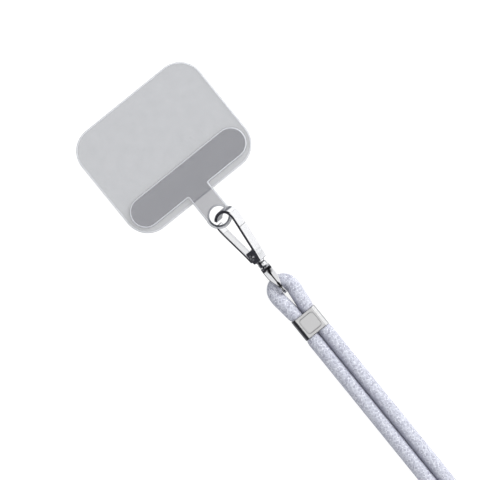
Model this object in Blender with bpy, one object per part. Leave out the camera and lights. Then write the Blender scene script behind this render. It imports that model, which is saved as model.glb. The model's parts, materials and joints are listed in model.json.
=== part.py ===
"""Phone crossbody strap: adhesive pad, clear tether tab, swivel snap hook, clamp and one cord loop.

Units are metres and +Z is up. The origin is the middle of the pad's sticky face, which lies on the
table. The strap runs from there along -Y, and the wide cord loop lies flat at its far end.
"""

import math

import bmesh
import bpy
import numpy as np
from mathutils import Matrix

MM = 0.001
GAP = 0.3 * MM  # between pieces that touch on the real strap

# Adhesive pad
PAD_WIDTH = 44 * MM
PAD_LENGTH = 36 * MM
PAD_THICKNESS = 0.5 * MM
PAD_CORNER = 7.5 * MM

# Tether tab: a pill-shaped bar on the pad, a neck, and a round end with the hole for the hook
BAR_WIDTH = 41 * MM
BAR_LENGTH = 9.4 * MM
BAR_FROM_PAD_EDGE = 2.1 * MM
TAB_THICKNESS = 0.6 * MM
NECK_WIDTH = 7.4 * MM
TAB_END_RADIUS = 3.85 * MM
TAB_HOLE_RADIUS = 2.8 * MM
HOLE_PAST_PAD = 7.4 * MM
HOLE_HEIGHT = 4.15 * MM  # the hook holds the tab's end this high
NECK_BEND = 3.0 * MM  # length of the curve where the neck starts to rise

# Snap hook, measured in its own plane from the foot of its body
HOOK_LENGTH = 18.5 * MM
HOOK_HALF_WIDTH = 4.6 * MM
HOOK_STRIP = 1.05 * MM  # thickness of the bent strip
HOOK_DEPTH = 3.0 * MM  # width of the strip, across the hook's plane
HOOK_ROLL = math.radians(48)
HOOK_PITCH = math.radians(3.2)
HOOK_TOP_PAST_HOLE = 0.95 * MM
STRAP_AXIS_X = 1.0 * MM
HOOK_FOOT_HEIGHT = 3.95 * MM
BODY_LENGTH = 4.0 * MM
BODY_FOOT_WIDTH = 3.8 * MM
STRIP_STEPS = 5  # between two rows of the strip's route

# Gate and its rivet
GATE_STRIP = 0.85 * MM
GATE_DEPTH = 2.3 * MM
GATE_OPEN = math.radians(12)
GATE_END_GAP = 0.4 * MM  # from the hook's tip to the middle of the gate's end
LUG_DEPTH = 1.0 * MM
LUG_RADIUS = 1.25 * MM
LUG_CLEARANCE = 0.2 * MM
LUG_ROOT_HALF_LENGTH = 1.0 * MM
RIVET_RADIUS = 0.5 * MM
RIVET_CLEARANCE = 0.08 * MM
RIVET_HEAD_RADIUS = 0.95 * MM
RIVET_HEAD_THICKNESS = 0.25 * MM
RIVET_FROM_FOOT = 2.1 * MM
RIVET_OFFSET = -0.1 * MM

# Swivel post and eye
POST_RADIUS = 1.35 * MM
POST_LENGTH = 2.0 * MM
POST_ROOT = 0.4 * MM  # how far the post reaches into the hook's body
PIN_RADIUS = 0.7 * MM
PIN_CLEARANCE = 0.12 * MM
PIN_HEAD_RADIUS = 1.15 * MM
PIN_HEAD_THICKNESS = 0.7 * MM
EYE_STRIP = 0.8 * MM
EYE_WIDTH = 3.1 * MM
EYE_END_WIDTH = 0.9 * MM
EYE_LENGTH = 9.6 * MM
EYE_CORNER = 1.7 * MM
EYE_TAPER = (0.15, 0.45)  # where it widens, as shares of its length from the cord's end

# Cord and clamp
CORD_RADIUS = 2.0 * MM
CRIMPED_RADIUS = 1.7 * MM
STRAND_GAP = 0.2 * MM
CLAMP_LENGTH = 7.0 * MM
CLAMP_WALL = 0.55 * MM
CLAMP_CLEARANCE = 0.15 * MM
CLAMP_CORNER = 1.5 * MM
CLAMP_PAST_EYE = 7.8 * MM
SWELL_LENGTH = 1.4 * MM  # past the clamp's mouth, where a crimped strand is round again
BIGHT_PLAY = 0.45 * MM  # between the eye's end and the cord that turns round it
BIGHT_LEAD = 1.5 * MM  # straight run just before that turn
BIGHT_RISE = (0.1, 0.5, 0.95)  # shares of the rise from the clamp: at the swell, halfway, before the turn
BIGHT_STEPS = 2
LOOP_STEPS = 2

ROUND_SIDES = 16
HOLE_SIDES = 24
ARC_STEPS = 8  # along a half circle of the tab

HOLE_Y = -(PAD_LENGTH / 2 + HOLE_PAST_PAD)
HOOK_FOOT_Y = HOLE_Y + HOOK_TOP_PAST_HOLE - HOOK_LENGTH
EYE_HEIGHT = 2 * (CORD_RADIUS + GAP + EYE_STRIP)
EYE_HEAD_U = -(POST_LENGTH + LUG_CLEARANCE)
EYE_END_U = EYE_HEAD_U - EYE_LENGTH
CLAMP_TOP_Y = HOOK_FOOT_Y + EYE_END_U - CLAMP_PAST_EYE
CLAMP_MIDDLE_Y = CLAMP_TOP_Y - CLAMP_LENGTH / 2
CLAMP_HALF_HEIGHT = CRIMPED_RADIUS + CLAMP_CLEARANCE + CLAMP_WALL
CLAMP_HALF_WIDTH = 2 * CRIMPED_RADIUS + STRAND_GAP / 2 + CLAMP_CLEARANCE + CLAMP_WALL
CRIMPED_X = CRIMPED_RADIUS + STRAND_GAP / 2
STRAND_X = CORD_RADIUS + STRAND_GAP / 2

# The hook's strip from its body over the top to its tip, as shares of HOOK_HALF_WIDTH and HOOK_LENGTH
HOOK_ROUTE = (
    ("body", 0.46, 0.12),
    ("arm foot", 0.50, 0.22),
    ("arm", 0.66, 0.45),
    ("shoulder", 0.86, 0.74),
    ("upper arm", 0.88, 0.84),
    ("bend", 0.70, 0.930),
    ("crown right", 0.34, 0.969),
    ("crown left", -0.10, 0.965),
    ("curl", -0.44, 0.932),
    ("tip", -0.62, 0.897),
)
# The gate's strip from beside the hook's body up to its free end, in the same shares
GATE_ROUTE = (
    ("heel", -0.44, 0.045),
    ("foot", -0.52, 0.20),
    ("middle", -0.70, 0.45),
    ("belly", -0.87, 0.70),
    ("cheek", -0.88, 0.79),
    ("free end", -0.79, 0.865),
)
# The open loop past the clamp, right-hand half, in metres: how far it has left its twin strand's side,
# and how far along from the clamp's middle
LOOP_ROUTE = (
    (0.0, -0.009), (0.0, -0.025), (0.0, -0.045), (0.0, -0.062), (0.0001, -0.072), (0.0024, -0.090),
    (0.0109, -0.115), (0.0269, -0.145), (0.0499, -0.183), (0.0779, -0.227), (0.1059, -0.274),
    (0.1279, -0.323), (0.1379, -0.372), (0.1319, -0.418), (0.1079, -0.456), (0.0699, -0.482),
    (0.0259, -0.4935),
)
LOOP_END = -0.495  # the middle of its far end


def clear_scene():
    """Remove the objects that Blender starts with."""
    for obj in list(bpy.data.objects):
        bpy.data.objects.remove(obj)


def material(name, colour, roughness, metallic=0.0, alpha=1.0):
    made = bpy.data.materials.new(name)
    made.use_nodes = True
    shader = made.node_tree.nodes["Principled BSDF"]
    shader.inputs["Base Color"].default_value = (*colour, 1.0)
    shader.inputs["Roughness"].default_value = roughness
    shader.inputs["Metallic"].default_value = metallic
    shader.inputs["Alpha"].default_value = alpha
    return made


def add_object(name, mesh, finish, place=None):
    obj = bpy.data.objects.new(name, mesh)
    bpy.context.scene.collection.objects.link(obj)
    mesh.materials.append(finish)
    if place is not None:
        obj.matrix_world = place
    return obj


def smooth_route(points, per_span):
    """Points on a Catmull-Rom curve through the given ones, per_span steps between neighbours."""
    given = np.array(points, float)
    ends = np.vstack([2 * given[0] - given[1], given, 2 * given[-1] - given[-2]])
    steps = np.linspace(0, 1, per_span, endpoint=False)[:, None]
    found = []
    for a, b, c, d in zip(ends[:-3], ends[1:-2], ends[2:-1], ends[3:]):
        found.append(
            0.5 * (2 * b + (c - a) * steps + (2 * a - 5 * b + 4 * c - d) * steps**2
                   + (3 * b - a - 3 * c + d) * steps**3)
        )
    return np.vstack([*found, given[-1:]])


def ribbon_outline(route, thickness):
    """The closed outline of a strip of this thickness along a flat route."""
    along = np.gradient(route, axis=0)
    along /= np.linalg.norm(along, axis=1)[:, None]
    side = np.column_stack([-along[:, 1], along[:, 0]]) * thickness / 2
    return np.vstack([route + side, (route - side)[::-1]])


def rounded_rectangle(width, height, corner, steps=6):
    """Corner arcs joined by straight sides, anticlockwise."""
    points = []
    for quarter in range(4):
        middle_x = (width / 2 - corner) * (1, -1, -1, 1)[quarter]
        middle_y = (height / 2 - corner) * (1, 1, -1, -1)[quarter]
        for step in range(steps + 1):
            angle = math.pi / 2 * (quarter + step / steps)
            points.append((middle_x + corner * math.cos(angle), middle_y + corner * math.sin(angle)))
    return points


def circle(radius, centre=(0, 0), sides=ROUND_SIDES):
    turns = np.arange(sides) * 2 * math.pi / sides
    return [(centre[0] + radius * math.cos(t), centre[1] + radius * math.sin(t)) for t in turns]


def plate(name, outline, holes, low, high):
    """A flat outline with holes, made solid between two heights of local Z."""
    work = bmesh.new()
    edges = []
    for loop in (outline, *holes):
        corners = [work.verts.new((x, y, low)) for x, y in loop]
        edges += [work.edges.new((a, b)) for a, b in zip(corners, corners[1:] + corners[:1])]
    bmesh.ops.triangle_fill(work, use_beauty=True, use_dissolve=False, edges=edges)
    skin = bmesh.ops.extrude_face_region(work, geom=work.faces[:])
    moved = [v for v in skin["geom"] if isinstance(v, bmesh.types.BMVert)]
    bmesh.ops.translate(work, verts=moved, vec=(0, 0, high - low))
    bmesh.ops.recalc_face_normals(work, faces=work.faces[:])
    mesh = bpy.data.meshes.new(name)
    work.to_mesh(mesh)
    work.free()
    return mesh


def turned(name, profile, sides=ROUND_SIDES):
    """A solid turned about local Y from (radius, place along Y) pairs, closed at both ends."""
    work = bmesh.new()
    rings = []
    for radius, place in profile:
        rings.append([work.verts.new((x, place, -z)) for x, z in circle(radius, sides=sides)])
    for lower, upper in zip(rings, rings[1:]):
        for i in range(sides):
            j = (i + 1) % sides
            work.faces.new((lower[i], lower[j], upper[j], upper[i]))
    work.faces.new(rings[0])
    work.faces.new(rings[-1])
    bmesh.ops.recalc_face_normals(work, faces=work.faces[:])
    mesh = bpy.data.meshes.new(name)
    work.to_mesh(mesh)
    work.free()
    return mesh


def combine(obj, other_mesh, operation, place=None):
    """Add a helper solid and join it to obj, or cut it out, with a Boolean."""
    helper = bpy.data.objects.new(f"{obj.name}_{operation.lower()}_helper", other_mesh)
    bpy.context.scene.collection.objects.link(helper)
    helper.matrix_world = obj.matrix_world @ (place or Matrix())
    helper.hide_render = True
    helper.display_type = "WIRE"
    boolean = obj.modifiers.new(operation.title(), "BOOLEAN")
    boolean.object = helper
    boolean.operation = operation


def hook_place(roll=HOOK_ROLL):
    """Local X across the hook, Y along it from its foot, Z across its plane; pitched and rolled."""
    foot = Matrix.Translation((STRAP_AXIS_X, HOOK_FOOT_Y, HOOK_FOOT_HEIGHT))
    return foot @ Matrix.Rotation(HOOK_PITCH, 4, "X") @ Matrix.Rotation(-roll, 4, "Y")


def strip_route(table):
    """A strip's smooth middle line, in the hook's plane."""
    return smooth_route([(x * HOOK_HALF_WIDTH, y * HOOK_LENGTH) for _, x, y in table], STRIP_STEPS)


def gate_route():
    """The gate's middle line, cut off where its end swings past the hook's tip."""
    rivet = np.array((RIVET_OFFSET, RIVET_FROM_FOOT))
    hook = strip_route(HOOK_ROUTE)
    tip = ribbon_outline(hook, HOOK_STRIP)[len(hook) - 1:len(hook) + 1]
    reach = np.linalg.norm(tip - rivet, axis=1).min() - GATE_END_GAP
    route = strip_route(GATE_ROUTE)
    away = np.linalg.norm(route - rivet, axis=1)
    kept = route[away < reach]
    beyond = route[len(kept)]
    share = (reach - away[len(kept) - 1]) / (away[len(kept)] - away[len(kept) - 1])
    return np.vstack([kept, kept[-1] + share * (beyond - kept[-1])])


def neck_height(y):
    """How high the tab's underside is: flat on the pad, then a curve into an even rise to the hole."""
    flat = PAD_THICKNESS + GAP
    start = -PAD_LENGTH / 2 + BAR_FROM_PAD_EDGE
    run = start - y
    reach = start - HOLE_Y - NECK_BEND / 2
    slope = (HOLE_HEIGHT - TAB_THICKNESS / 2 - flat) / reach
    if run <= 0:
        return flat
    if run < NECK_BEND:
        return flat + slope * run**2 / (2 * NECK_BEND)
    return flat + slope * (run - NECK_BEND / 2)


def make_pad(finish):
    outline = rounded_rectangle(PAD_WIDTH, PAD_LENGTH, PAD_CORNER)
    return add_object("adhesive_pad", plate("adhesive_pad", outline, (), 0, PAD_THICKNESS), finish)


def tab_outline():
    """Round end, neck, and pill-shaped bar, anticlockwise."""
    bar_low = -PAD_LENGTH / 2 + BAR_FROM_PAD_EDGE
    bar_middle = bar_low + BAR_LENGTH / 2
    bar_end = BAR_WIDTH / 2 - BAR_LENGTH / 2
    reach = math.asin(NECK_WIDTH / 2 / TAB_END_RADIUS)
    points = []
    for step in range(2 * ARC_STEPS + 1):
        angle = -math.pi / 2 + (math.pi - reach) * (step / ARC_STEPS - 1)
        points.append((TAB_END_RADIUS * math.cos(angle), HOLE_Y + TAB_END_RADIUS * math.sin(angle)))
    points.append((NECK_WIDTH / 2, bar_low))
    for side in (1, -1):
        for step in range(ARC_STEPS + 1):
            angle = math.pi * (step / ARC_STEPS - 0.5) + (0 if side > 0 else math.pi)
            points.append((side * bar_end + BAR_LENGTH / 2 * math.cos(angle),
                           bar_middle + BAR_LENGTH / 2 * math.sin(angle)))
    points.append((-NECK_WIDTH / 2, bar_low))
    return points


def make_tab(finish):
    hole = circle(TAB_HOLE_RADIUS, (0, HOLE_Y), sides=HOLE_SIDES)
    mesh = plate("tether_tab", tab_outline(), (hole,), 0, TAB_THICKNESS)
    work = bmesh.new()
    work.from_mesh(mesh)
    start = -PAD_LENGTH / 2 + BAR_FROM_PAD_EDGE
    for cut in np.linspace(start, start - NECK_BEND, ARC_STEPS):
        geometry = work.verts[:] + work.edges[:] + work.faces[:]
        bmesh.ops.bisect_plane(work, geom=geometry, plane_co=(0, cut, 0), plane_no=(0, 1, 0))
    for vert in work.verts:
        vert.co.z += neck_height(vert.co.y)
    bmesh.ops.triangulate(work, faces=work.faces[:])
    work.to_mesh(mesh)
    work.free()
    return add_object("tether_tab", mesh, finish)


def make_hook(finish):
    strip = ribbon_outline(strip_route(HOOK_ROUTE), HOOK_STRIP)
    half = HOOK_DEPTH / 2
    hook = add_object("hook_frame", plate("hook_frame", strip, (), -half, half), finish, hook_place())
    right = HOOK_ROUTE[1][1] * HOOK_HALF_WIDTH + HOOK_STRIP / 2
    left = GATE_ROUTE[1][1] * HOOK_HALF_WIDTH + GATE_STRIP / 2 + LUG_CLEARANCE
    foot_left = GATE_ROUTE[0][1] * HOOK_HALF_WIDTH + GATE_STRIP / 2 + LUG_CLEARANCE
    by_rivet = foot_left + (left - foot_left) * RIVET_FROM_FOOT / BODY_LENGTH
    relief = (BODY_LENGTH - RIVET_FROM_FOOT) * math.tan(GATE_OPEN)
    body = [(foot_left, 0), (BODY_FOOT_WIDTH / 2, 0), (right, BODY_LENGTH),
            (left + relief, BODY_LENGTH), (by_rivet, RIVET_FROM_FOOT)]
    combine(hook, plate("hook_body", body, (), -half, half), "UNION")
    head_u = EYE_HEAD_U - EYE_STRIP - LUG_CLEARANCE
    post = turned("hook_post", [
        (POST_RADIUS, POST_ROOT), (POST_RADIUS, -POST_LENGTH), (PIN_RADIUS, -POST_LENGTH),
        (PIN_RADIUS, head_u), (PIN_HEAD_RADIUS, head_u), (PIN_HEAD_RADIUS, head_u - PIN_HEAD_THICKNESS),
    ])
    combine(hook, post, "UNION")
    slot_half = LUG_DEPTH / 2 + LUG_CLEARANCE
    slot_right = RIVET_OFFSET + LUG_RADIUS + LUG_CLEARANCE
    slot_top = BODY_LENGTH + HOOK_STRIP
    slot_foot = RIVET_FROM_FOOT - LUG_RADIUS - LUG_CLEARANCE
    slot = [(-HOOK_HALF_WIDTH, slot_foot), (slot_right, slot_foot), (slot_right, slot_top),
            (-HOOK_HALF_WIDTH, slot_top)]
    combine(hook, plate("hook_slot", slot, (), -slot_half, slot_half), "DIFFERENCE")
    bore = circle(RIVET_RADIUS + RIVET_CLEARANCE, (RIVET_OFFSET, RIVET_FROM_FOOT))
    combine(hook, plate("hook_bore", bore, (), -HOOK_DEPTH, HOOK_DEPTH), "DIFFERENCE")
    return hook


def make_gate(finish):
    route = gate_route()
    half = GATE_DEPTH / 2
    strip = ribbon_outline(route, GATE_STRIP)
    gate = add_object("gate", plate("gate", strip, (), -half, half), finish, hook_place())
    centre = (RIVET_OFFSET, RIVET_FROM_FOOT)
    strip_x = np.interp(RIVET_FROM_FOOT, route[:, 1], route[:, 0])
    lug = [(strip_x, RIVET_FROM_FOOT - LUG_ROOT_HALF_LENGTH)]
    for angle in np.linspace(-math.pi / 2, math.pi / 2, ARC_STEPS + 1):
        lug.append((centre[0] + LUG_RADIUS * math.cos(angle), centre[1] + LUG_RADIUS * math.sin(angle)))
    lug.append((strip_x, RIVET_FROM_FOOT + LUG_ROOT_HALF_LENGTH))
    combine(gate, plate("gate_lug", lug, (), -LUG_DEPTH / 2, LUG_DEPTH / 2), "UNION")
    bore = circle(RIVET_RADIUS + RIVET_CLEARANCE, centre)
    combine(gate, plate("gate_bore", bore, (), -HOOK_DEPTH, HOOK_DEPTH), "DIFFERENCE")
    return gate


def make_rivet(finish):
    seat = HOOK_DEPTH / 2 + RIVET_CLEARANCE
    outer = seat + RIVET_HEAD_THICKNESS
    profile = [(RIVET_HEAD_RADIUS, -outer), (RIVET_HEAD_RADIUS, -seat), (RIVET_RADIUS, -seat),
               (RIVET_RADIUS, seat), (RIVET_HEAD_RADIUS, seat), (RIVET_HEAD_RADIUS, outer)]
    lying = Matrix.Translation((RIVET_OFFSET, RIVET_FROM_FOOT, 0)) @ Matrix.Rotation(math.pi / 2, 4, "X")
    return add_object("gate_rivet", turned("gate_rivet", profile), finish, hook_place() @ lying)


def make_eye(finish):
    """A strip bent to a link that stands on edge, wide at its head and narrow where the cord turns."""
    outer = rounded_rectangle(EYE_LENGTH, EYE_HEIGHT, EYE_CORNER)
    inner = rounded_rectangle(EYE_LENGTH - 2 * EYE_STRIP, EYE_HEIGHT - 2 * EYE_STRIP, EYE_CORNER - EYE_STRIP)
    mesh = plate("swivel_eye", outer, (inner,), -EYE_WIDTH / 2, EYE_WIDTH / 2)
    work = bmesh.new()
    work.from_mesh(mesh)
    for share in EYE_TAPER:
        geometry = work.verts[:] + work.edges[:] + work.faces[:]
        bmesh.ops.bisect_plane(work, geom=geometry, plane_co=(EYE_LENGTH * (share - 0.5), 0, 0),
                               plane_no=(1, 0, 0))
    for vert in work.verts:
        from_end = vert.co.x / EYE_LENGTH + 0.5
        width = np.interp(from_end, EYE_TAPER, (EYE_END_WIDTH, EYE_WIDTH))
        vert.co.z *= width / EYE_WIDTH
    turn = Matrix(((0, 0, 1, 0), (1, 0, 0, EYE_HEAD_U - EYE_LENGTH / 2), (0, 1, 0, 0), (0, 0, 0, 1)))
    work.transform(turn)
    bmesh.ops.triangulate(work, faces=work.faces[:])
    work.to_mesh(mesh)
    work.free()
    eye = add_object("swivel_eye", mesh, finish, hook_place(roll=0))
    bore = turned("eye_bore", [(PIN_RADIUS + PIN_CLEARANCE, EYE_HEAD_U - 2 * EYE_STRIP),
                               (PIN_RADIUS + PIN_CLEARANCE, EYE_HEAD_U + EYE_STRIP)])
    combine(eye, bore, "DIFFERENCE")
    return eye


def make_clamp(finish):
    """A rounded sleeve round both strands, lying on the table."""
    outer = rounded_rectangle(2 * CLAMP_HALF_WIDTH, 2 * CLAMP_HALF_HEIGHT, CLAMP_CORNER)
    inner = rounded_rectangle(2 * (CLAMP_HALF_WIDTH - CLAMP_WALL), 2 * (CLAMP_HALF_HEIGHT - CLAMP_WALL),
                              CLAMP_CORNER - CLAMP_WALL / 2)
    mesh = plate("cord_clamp", outer, (inner,), -CLAMP_LENGTH / 2, CLAMP_LENGTH / 2)
    place = Matrix.Translation((STRAP_AXIS_X, CLAMP_MIDDLE_Y, CLAMP_HALF_HEIGHT))
    return add_object("cord_clamp", mesh, finish, place @ Matrix.Rotation(math.pi / 2, 4, "X"))


def axis_height(y):
    """Height of the hook's long axis at this Y."""
    return HOOK_FOOT_HEIGHT + (y - HOOK_FOOT_Y) * math.tan(HOOK_PITCH)


def bight_half():
    """Right-hand half of the small turn round the eye's end: across, along, height, radius."""
    bar_inside = HOOK_FOOT_Y + EYE_END_U + EYE_STRIP
    turn = CORD_RADIUS + EYE_END_WIDTH / 2 + GAP
    centre = bar_inside + GAP + CORD_RADIUS - turn + BIGHT_PLAY
    low, high = CLAMP_HALF_HEIGHT, axis_height(centre)
    swell, halfway, lead = (low + share * (high - low) for share in BIGHT_RISE)
    rows = [
        (CRIMPED_X, CLAMP_MIDDLE_Y + GAP / 2, low, CRIMPED_RADIUS),
        (CRIMPED_X, CLAMP_TOP_Y - GAP, low, CRIMPED_RADIUS),
        (STRAND_X, CLAMP_TOP_Y + SWELL_LENGTH, swell, CORD_RADIUS),
        ((STRAND_X + turn) / 2, (CLAMP_TOP_Y + centre) / 2, halfway, CORD_RADIUS),
        (turn, centre - BIGHT_LEAD, lead, CORD_RADIUS),
    ]
    for degrees in (0, 22.5, 45, 67.5):
        angle = math.radians(degrees)
        rows.append((turn * math.cos(angle), centre + turn * math.sin(angle), high, CORD_RADIUS))
    return rows, (0.0, centre + turn, high, CORD_RADIUS)


def loop_half():
    """Right-hand half of the wide loop, from inside the clamp: across, along, height, radius."""
    bottom = CLAMP_TOP_Y - CLAMP_LENGTH
    rows = [
        (CRIMPED_X, CLAMP_MIDDLE_Y - GAP / 2, CLAMP_HALF_HEIGHT, CRIMPED_RADIUS),
        (CRIMPED_X, bottom + GAP, CLAMP_HALF_HEIGHT, CRIMPED_RADIUS),
        (STRAND_X, bottom - SWELL_LENGTH, CLAMP_HALF_HEIGHT, CORD_RADIUS),
    ]
    rows += [(STRAND_X + x, CLAMP_MIDDLE_Y + y, CORD_RADIUS, CORD_RADIUS) for x, y in LOOP_ROUTE]
    return rows, (0.0, CLAMP_MIDDLE_Y + LOOP_END, CORD_RADIUS, CORD_RADIUS)


def make_cord(name, half, per_span, finish):
    """A round cord along a half route and its mirror image, as a curve with filled ends."""
    rows, turn = half
    route = [*rows, turn, *[(-x, y, z, r) for x, y, z, r in reversed(rows)]]
    points = smooth_route(route, per_span)
    curve = bpy.data.curves.new(name, "CURVE")
    curve.dimensions = "3D"
    curve.bevel_depth = CORD_RADIUS
    curve.bevel_resolution = 3
    curve.use_fill_caps = True
    curve.twist_mode = "Z_UP"
    spline = curve.splines.new("POLY")
    spline.points.add(len(points) - 1)
    for point, (x, y, z, radius) in zip(spline.points, points):
        point.co = (STRAP_AXIS_X + x, y, z, 1)
        point.radius = radius / CORD_RADIUS
    obj = bpy.data.objects.new(name, curve)
    bpy.context.scene.collection.objects.link(obj)
    curve.materials.append(finish)
    return obj


def main():
    clear_scene()
    clear_film = material("clear_film", (0.80, 0.82, 0.85), 0.15, alpha=0.4)
    chrome = material("polished_metal", (0.78, 0.79, 0.81), 0.12, metallic=1.0)
    satin = material("satin_metal", (0.72, 0.73, 0.74), 0.3, metallic=1.0)
    cord = material("braided_cord", (0.66, 0.68, 0.76), 0.85)
    make_pad(clear_film)
    make_tab(clear_film)
    make_hook(chrome)
    make_gate(chrome)
    make_rivet(chrome)
    make_eye(chrome)
    make_clamp(satin)
    make_cord("cord_bight", bight_half(), BIGHT_STEPS, cord)
    make_cord("cord_loop", loop_half(), LOOP_STEPS, cord)
    for obj in bpy.data.objects:
        if obj.type == "MESH" and not obj.hide_render:
            obj.data.shade_smooth()
            obj.data.set_sharp_from_angle(angle=math.radians(35))
    bpy.context.view_layer.update()


main()
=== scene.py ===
"""Looks of a phone crossbody strap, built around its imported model.

Units are metres and +Z is up. The origin is the middle of the pad's sticky face on the table, the
strap runs along -Y, and the wide cord loop lies at its far end. Every new piece is a surface on a
grid of two parameters, or a profile carried along a path, worked out with numpy.
"""

from __future__ import annotations

import json
import logging
import math
from collections.abc import Callable
from dataclasses import dataclass, field
from enum import Enum

import bmesh
import bpy
import numpy as np
from mathutils import Matrix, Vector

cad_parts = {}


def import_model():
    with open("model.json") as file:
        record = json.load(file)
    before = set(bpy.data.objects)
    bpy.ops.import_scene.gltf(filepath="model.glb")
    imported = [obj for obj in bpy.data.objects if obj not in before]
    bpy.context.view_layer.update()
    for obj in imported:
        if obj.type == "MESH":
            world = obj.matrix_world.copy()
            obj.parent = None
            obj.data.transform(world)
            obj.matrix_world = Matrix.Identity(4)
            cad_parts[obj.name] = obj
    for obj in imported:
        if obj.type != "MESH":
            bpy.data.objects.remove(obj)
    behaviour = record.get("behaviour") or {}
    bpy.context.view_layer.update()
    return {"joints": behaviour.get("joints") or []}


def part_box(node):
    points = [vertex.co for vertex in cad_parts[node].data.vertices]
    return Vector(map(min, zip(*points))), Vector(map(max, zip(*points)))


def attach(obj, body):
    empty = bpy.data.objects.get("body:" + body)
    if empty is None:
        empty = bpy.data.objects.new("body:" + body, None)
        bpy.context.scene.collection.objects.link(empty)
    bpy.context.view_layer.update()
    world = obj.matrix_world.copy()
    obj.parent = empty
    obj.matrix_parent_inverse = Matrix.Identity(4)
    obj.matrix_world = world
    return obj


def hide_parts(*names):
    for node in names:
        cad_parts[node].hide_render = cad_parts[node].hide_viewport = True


MM = 0.001
GAP = 0.3 * MM
STRAP_AXIS_X = 1.0 * MM
Colour = tuple[float, float, float, float]
LOG = logging.getLogger("phone_crossbody_strap")


class Body(Enum):
    """Which moving body a piece rides on."""

    STRAP = "strap"
    HOOK = "hook"
    GATE = "gate"


class Slot(Enum):
    """The record's material slots."""

    FILM = "clear_film"
    POLISHED = "polished_metal"
    SATIN = "satin_metal"
    CORD = "braided_cord"


def unit(vector: np.ndarray) -> np.ndarray:
    """The vector at length one, over its last axis."""
    vector = np.asarray(vector, float)
    return vector / np.linalg.norm(vector, axis=-1, keepdims=True)


def smooth_route(points: np.ndarray, per_span: int) -> np.ndarray:
    """Carry a Catmull-Rom curve through the given points.

    Between b and c, with neighbours a and d, it is half of 2b + (c-a)t + (2a-5b+4c-d)t^2 +
    (3b-a-3c+d)t^3, with t from 0 to 1.

    Args:
        points: The rows that the curve passes through.
        per_span: Steps between two of them.

    Returns:
        The curve's points, with the last given point at its end.
    """
    given = np.asarray(points, float)
    ends = np.vstack([2 * given[0] - given[1], given, 2 * given[-1] - given[-2]])
    t = np.linspace(0, 1, per_span, endpoint=False)[None, :, None]
    a, b, c, d = (ends[i:len(ends) - 3 + i, None] for i in range(4))
    curve = 0.5 * (2 * b + (c - a) * t + (2 * a - 5 * b + 4 * c - d) * t**2 + (3 * b - a - 3 * c + d) * t**3)
    return np.vstack([curve.reshape(-1, given.shape[1]), given[-1:]])


def lengths_along(route: np.ndarray) -> np.ndarray:
    """The distance from the route's start to each of its points."""
    return np.concatenate([[0], np.cumsum(np.linalg.norm(np.diff(route, axis=0), axis=1))])


def points_at(route: np.ndarray, places: np.ndarray) -> np.ndarray:
    """The route's values at these distances along it, by straight interpolation."""
    lengths = lengths_along(route[:, :3])
    return np.column_stack([np.interp(places, lengths, column) for column in route.T])


def corner_profile(steps: int = 4, support: float = 0.5) -> np.ndarray:
    """Describe a rounded rectangle by its corners, so that any size can be read from it.

    A point is (sign * (half size - corner) + corner * offset) on each axis. Each corner has an arc
    and a support point on either side, which keeps the flat faces flat under smooth shading.

    Args:
        steps: Steps along each corner's arc.
        support: How far the support points are from the arc, in corner radii.

    Returns:
        Rows of (sign a, sign b, offset a, offset b), anticlockwise.
    """
    turns = np.linspace(0, math.pi / 2, steps + 1)
    arc = np.column_stack([np.cos(turns), np.sin(turns)])
    offsets = np.vstack([[1, -support], arc, [-support, 1]])
    signs = np.ones_like(offsets)
    quarters = []
    for _ in range(4):
        quarters.append(np.hstack([signs, offsets]))
        signs = np.column_stack([-signs[:, 1], signs[:, 0]])
        offsets = np.column_stack([-offsets[:, 1], offsets[:, 0]])
    return np.vstack(quarters)


def rounded_rectangle(width: float, height: float, corner: float, steps: int = 12) -> np.ndarray:
    """The closed outline of a rounded rectangle, anticlockwise, as (n, 2) points."""
    rows = corner_profile(steps)
    half = np.array([width / 2 - corner, height / 2 - corner])
    return rows[:, :2] * half + rows[:, 2:] * corner


def rounded_polygon(corners: list[tuple[float, float]], radius: float, steps: int = 4) -> np.ndarray:
    """Round a polygon's corners with quadratic curves that start one radius before each corner.

    Args:
        corners: The polygon, anticlockwise.
        radius: How far from a corner its curve begins and ends.
        steps: Steps along each curve.

    Returns:
        The closed outline as (n, 2) points.
    """
    given = np.array(corners, float)
    before = given + radius * unit(np.roll(given, 1, axis=0) - given)
    after = given + radius * unit(np.roll(given, -1, axis=0) - given)
    t = np.linspace(0, 1, steps + 1)[None, :, None]
    curve = (1 - t) ** 2 * before[:, None] + 2 * t * (1 - t) * given[:, None] + t**2 * after[:, None]
    return curve.reshape(-1, 2)


def outline_normals(outline: np.ndarray) -> np.ndarray:
    """Directions that point out of an anticlockwise closed outline, one for each point."""
    along = unit(np.roll(outline, -1, axis=0) - np.roll(outline, 1, axis=0))
    return np.column_stack([along[:, 1], -along[:, 0]])


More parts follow.
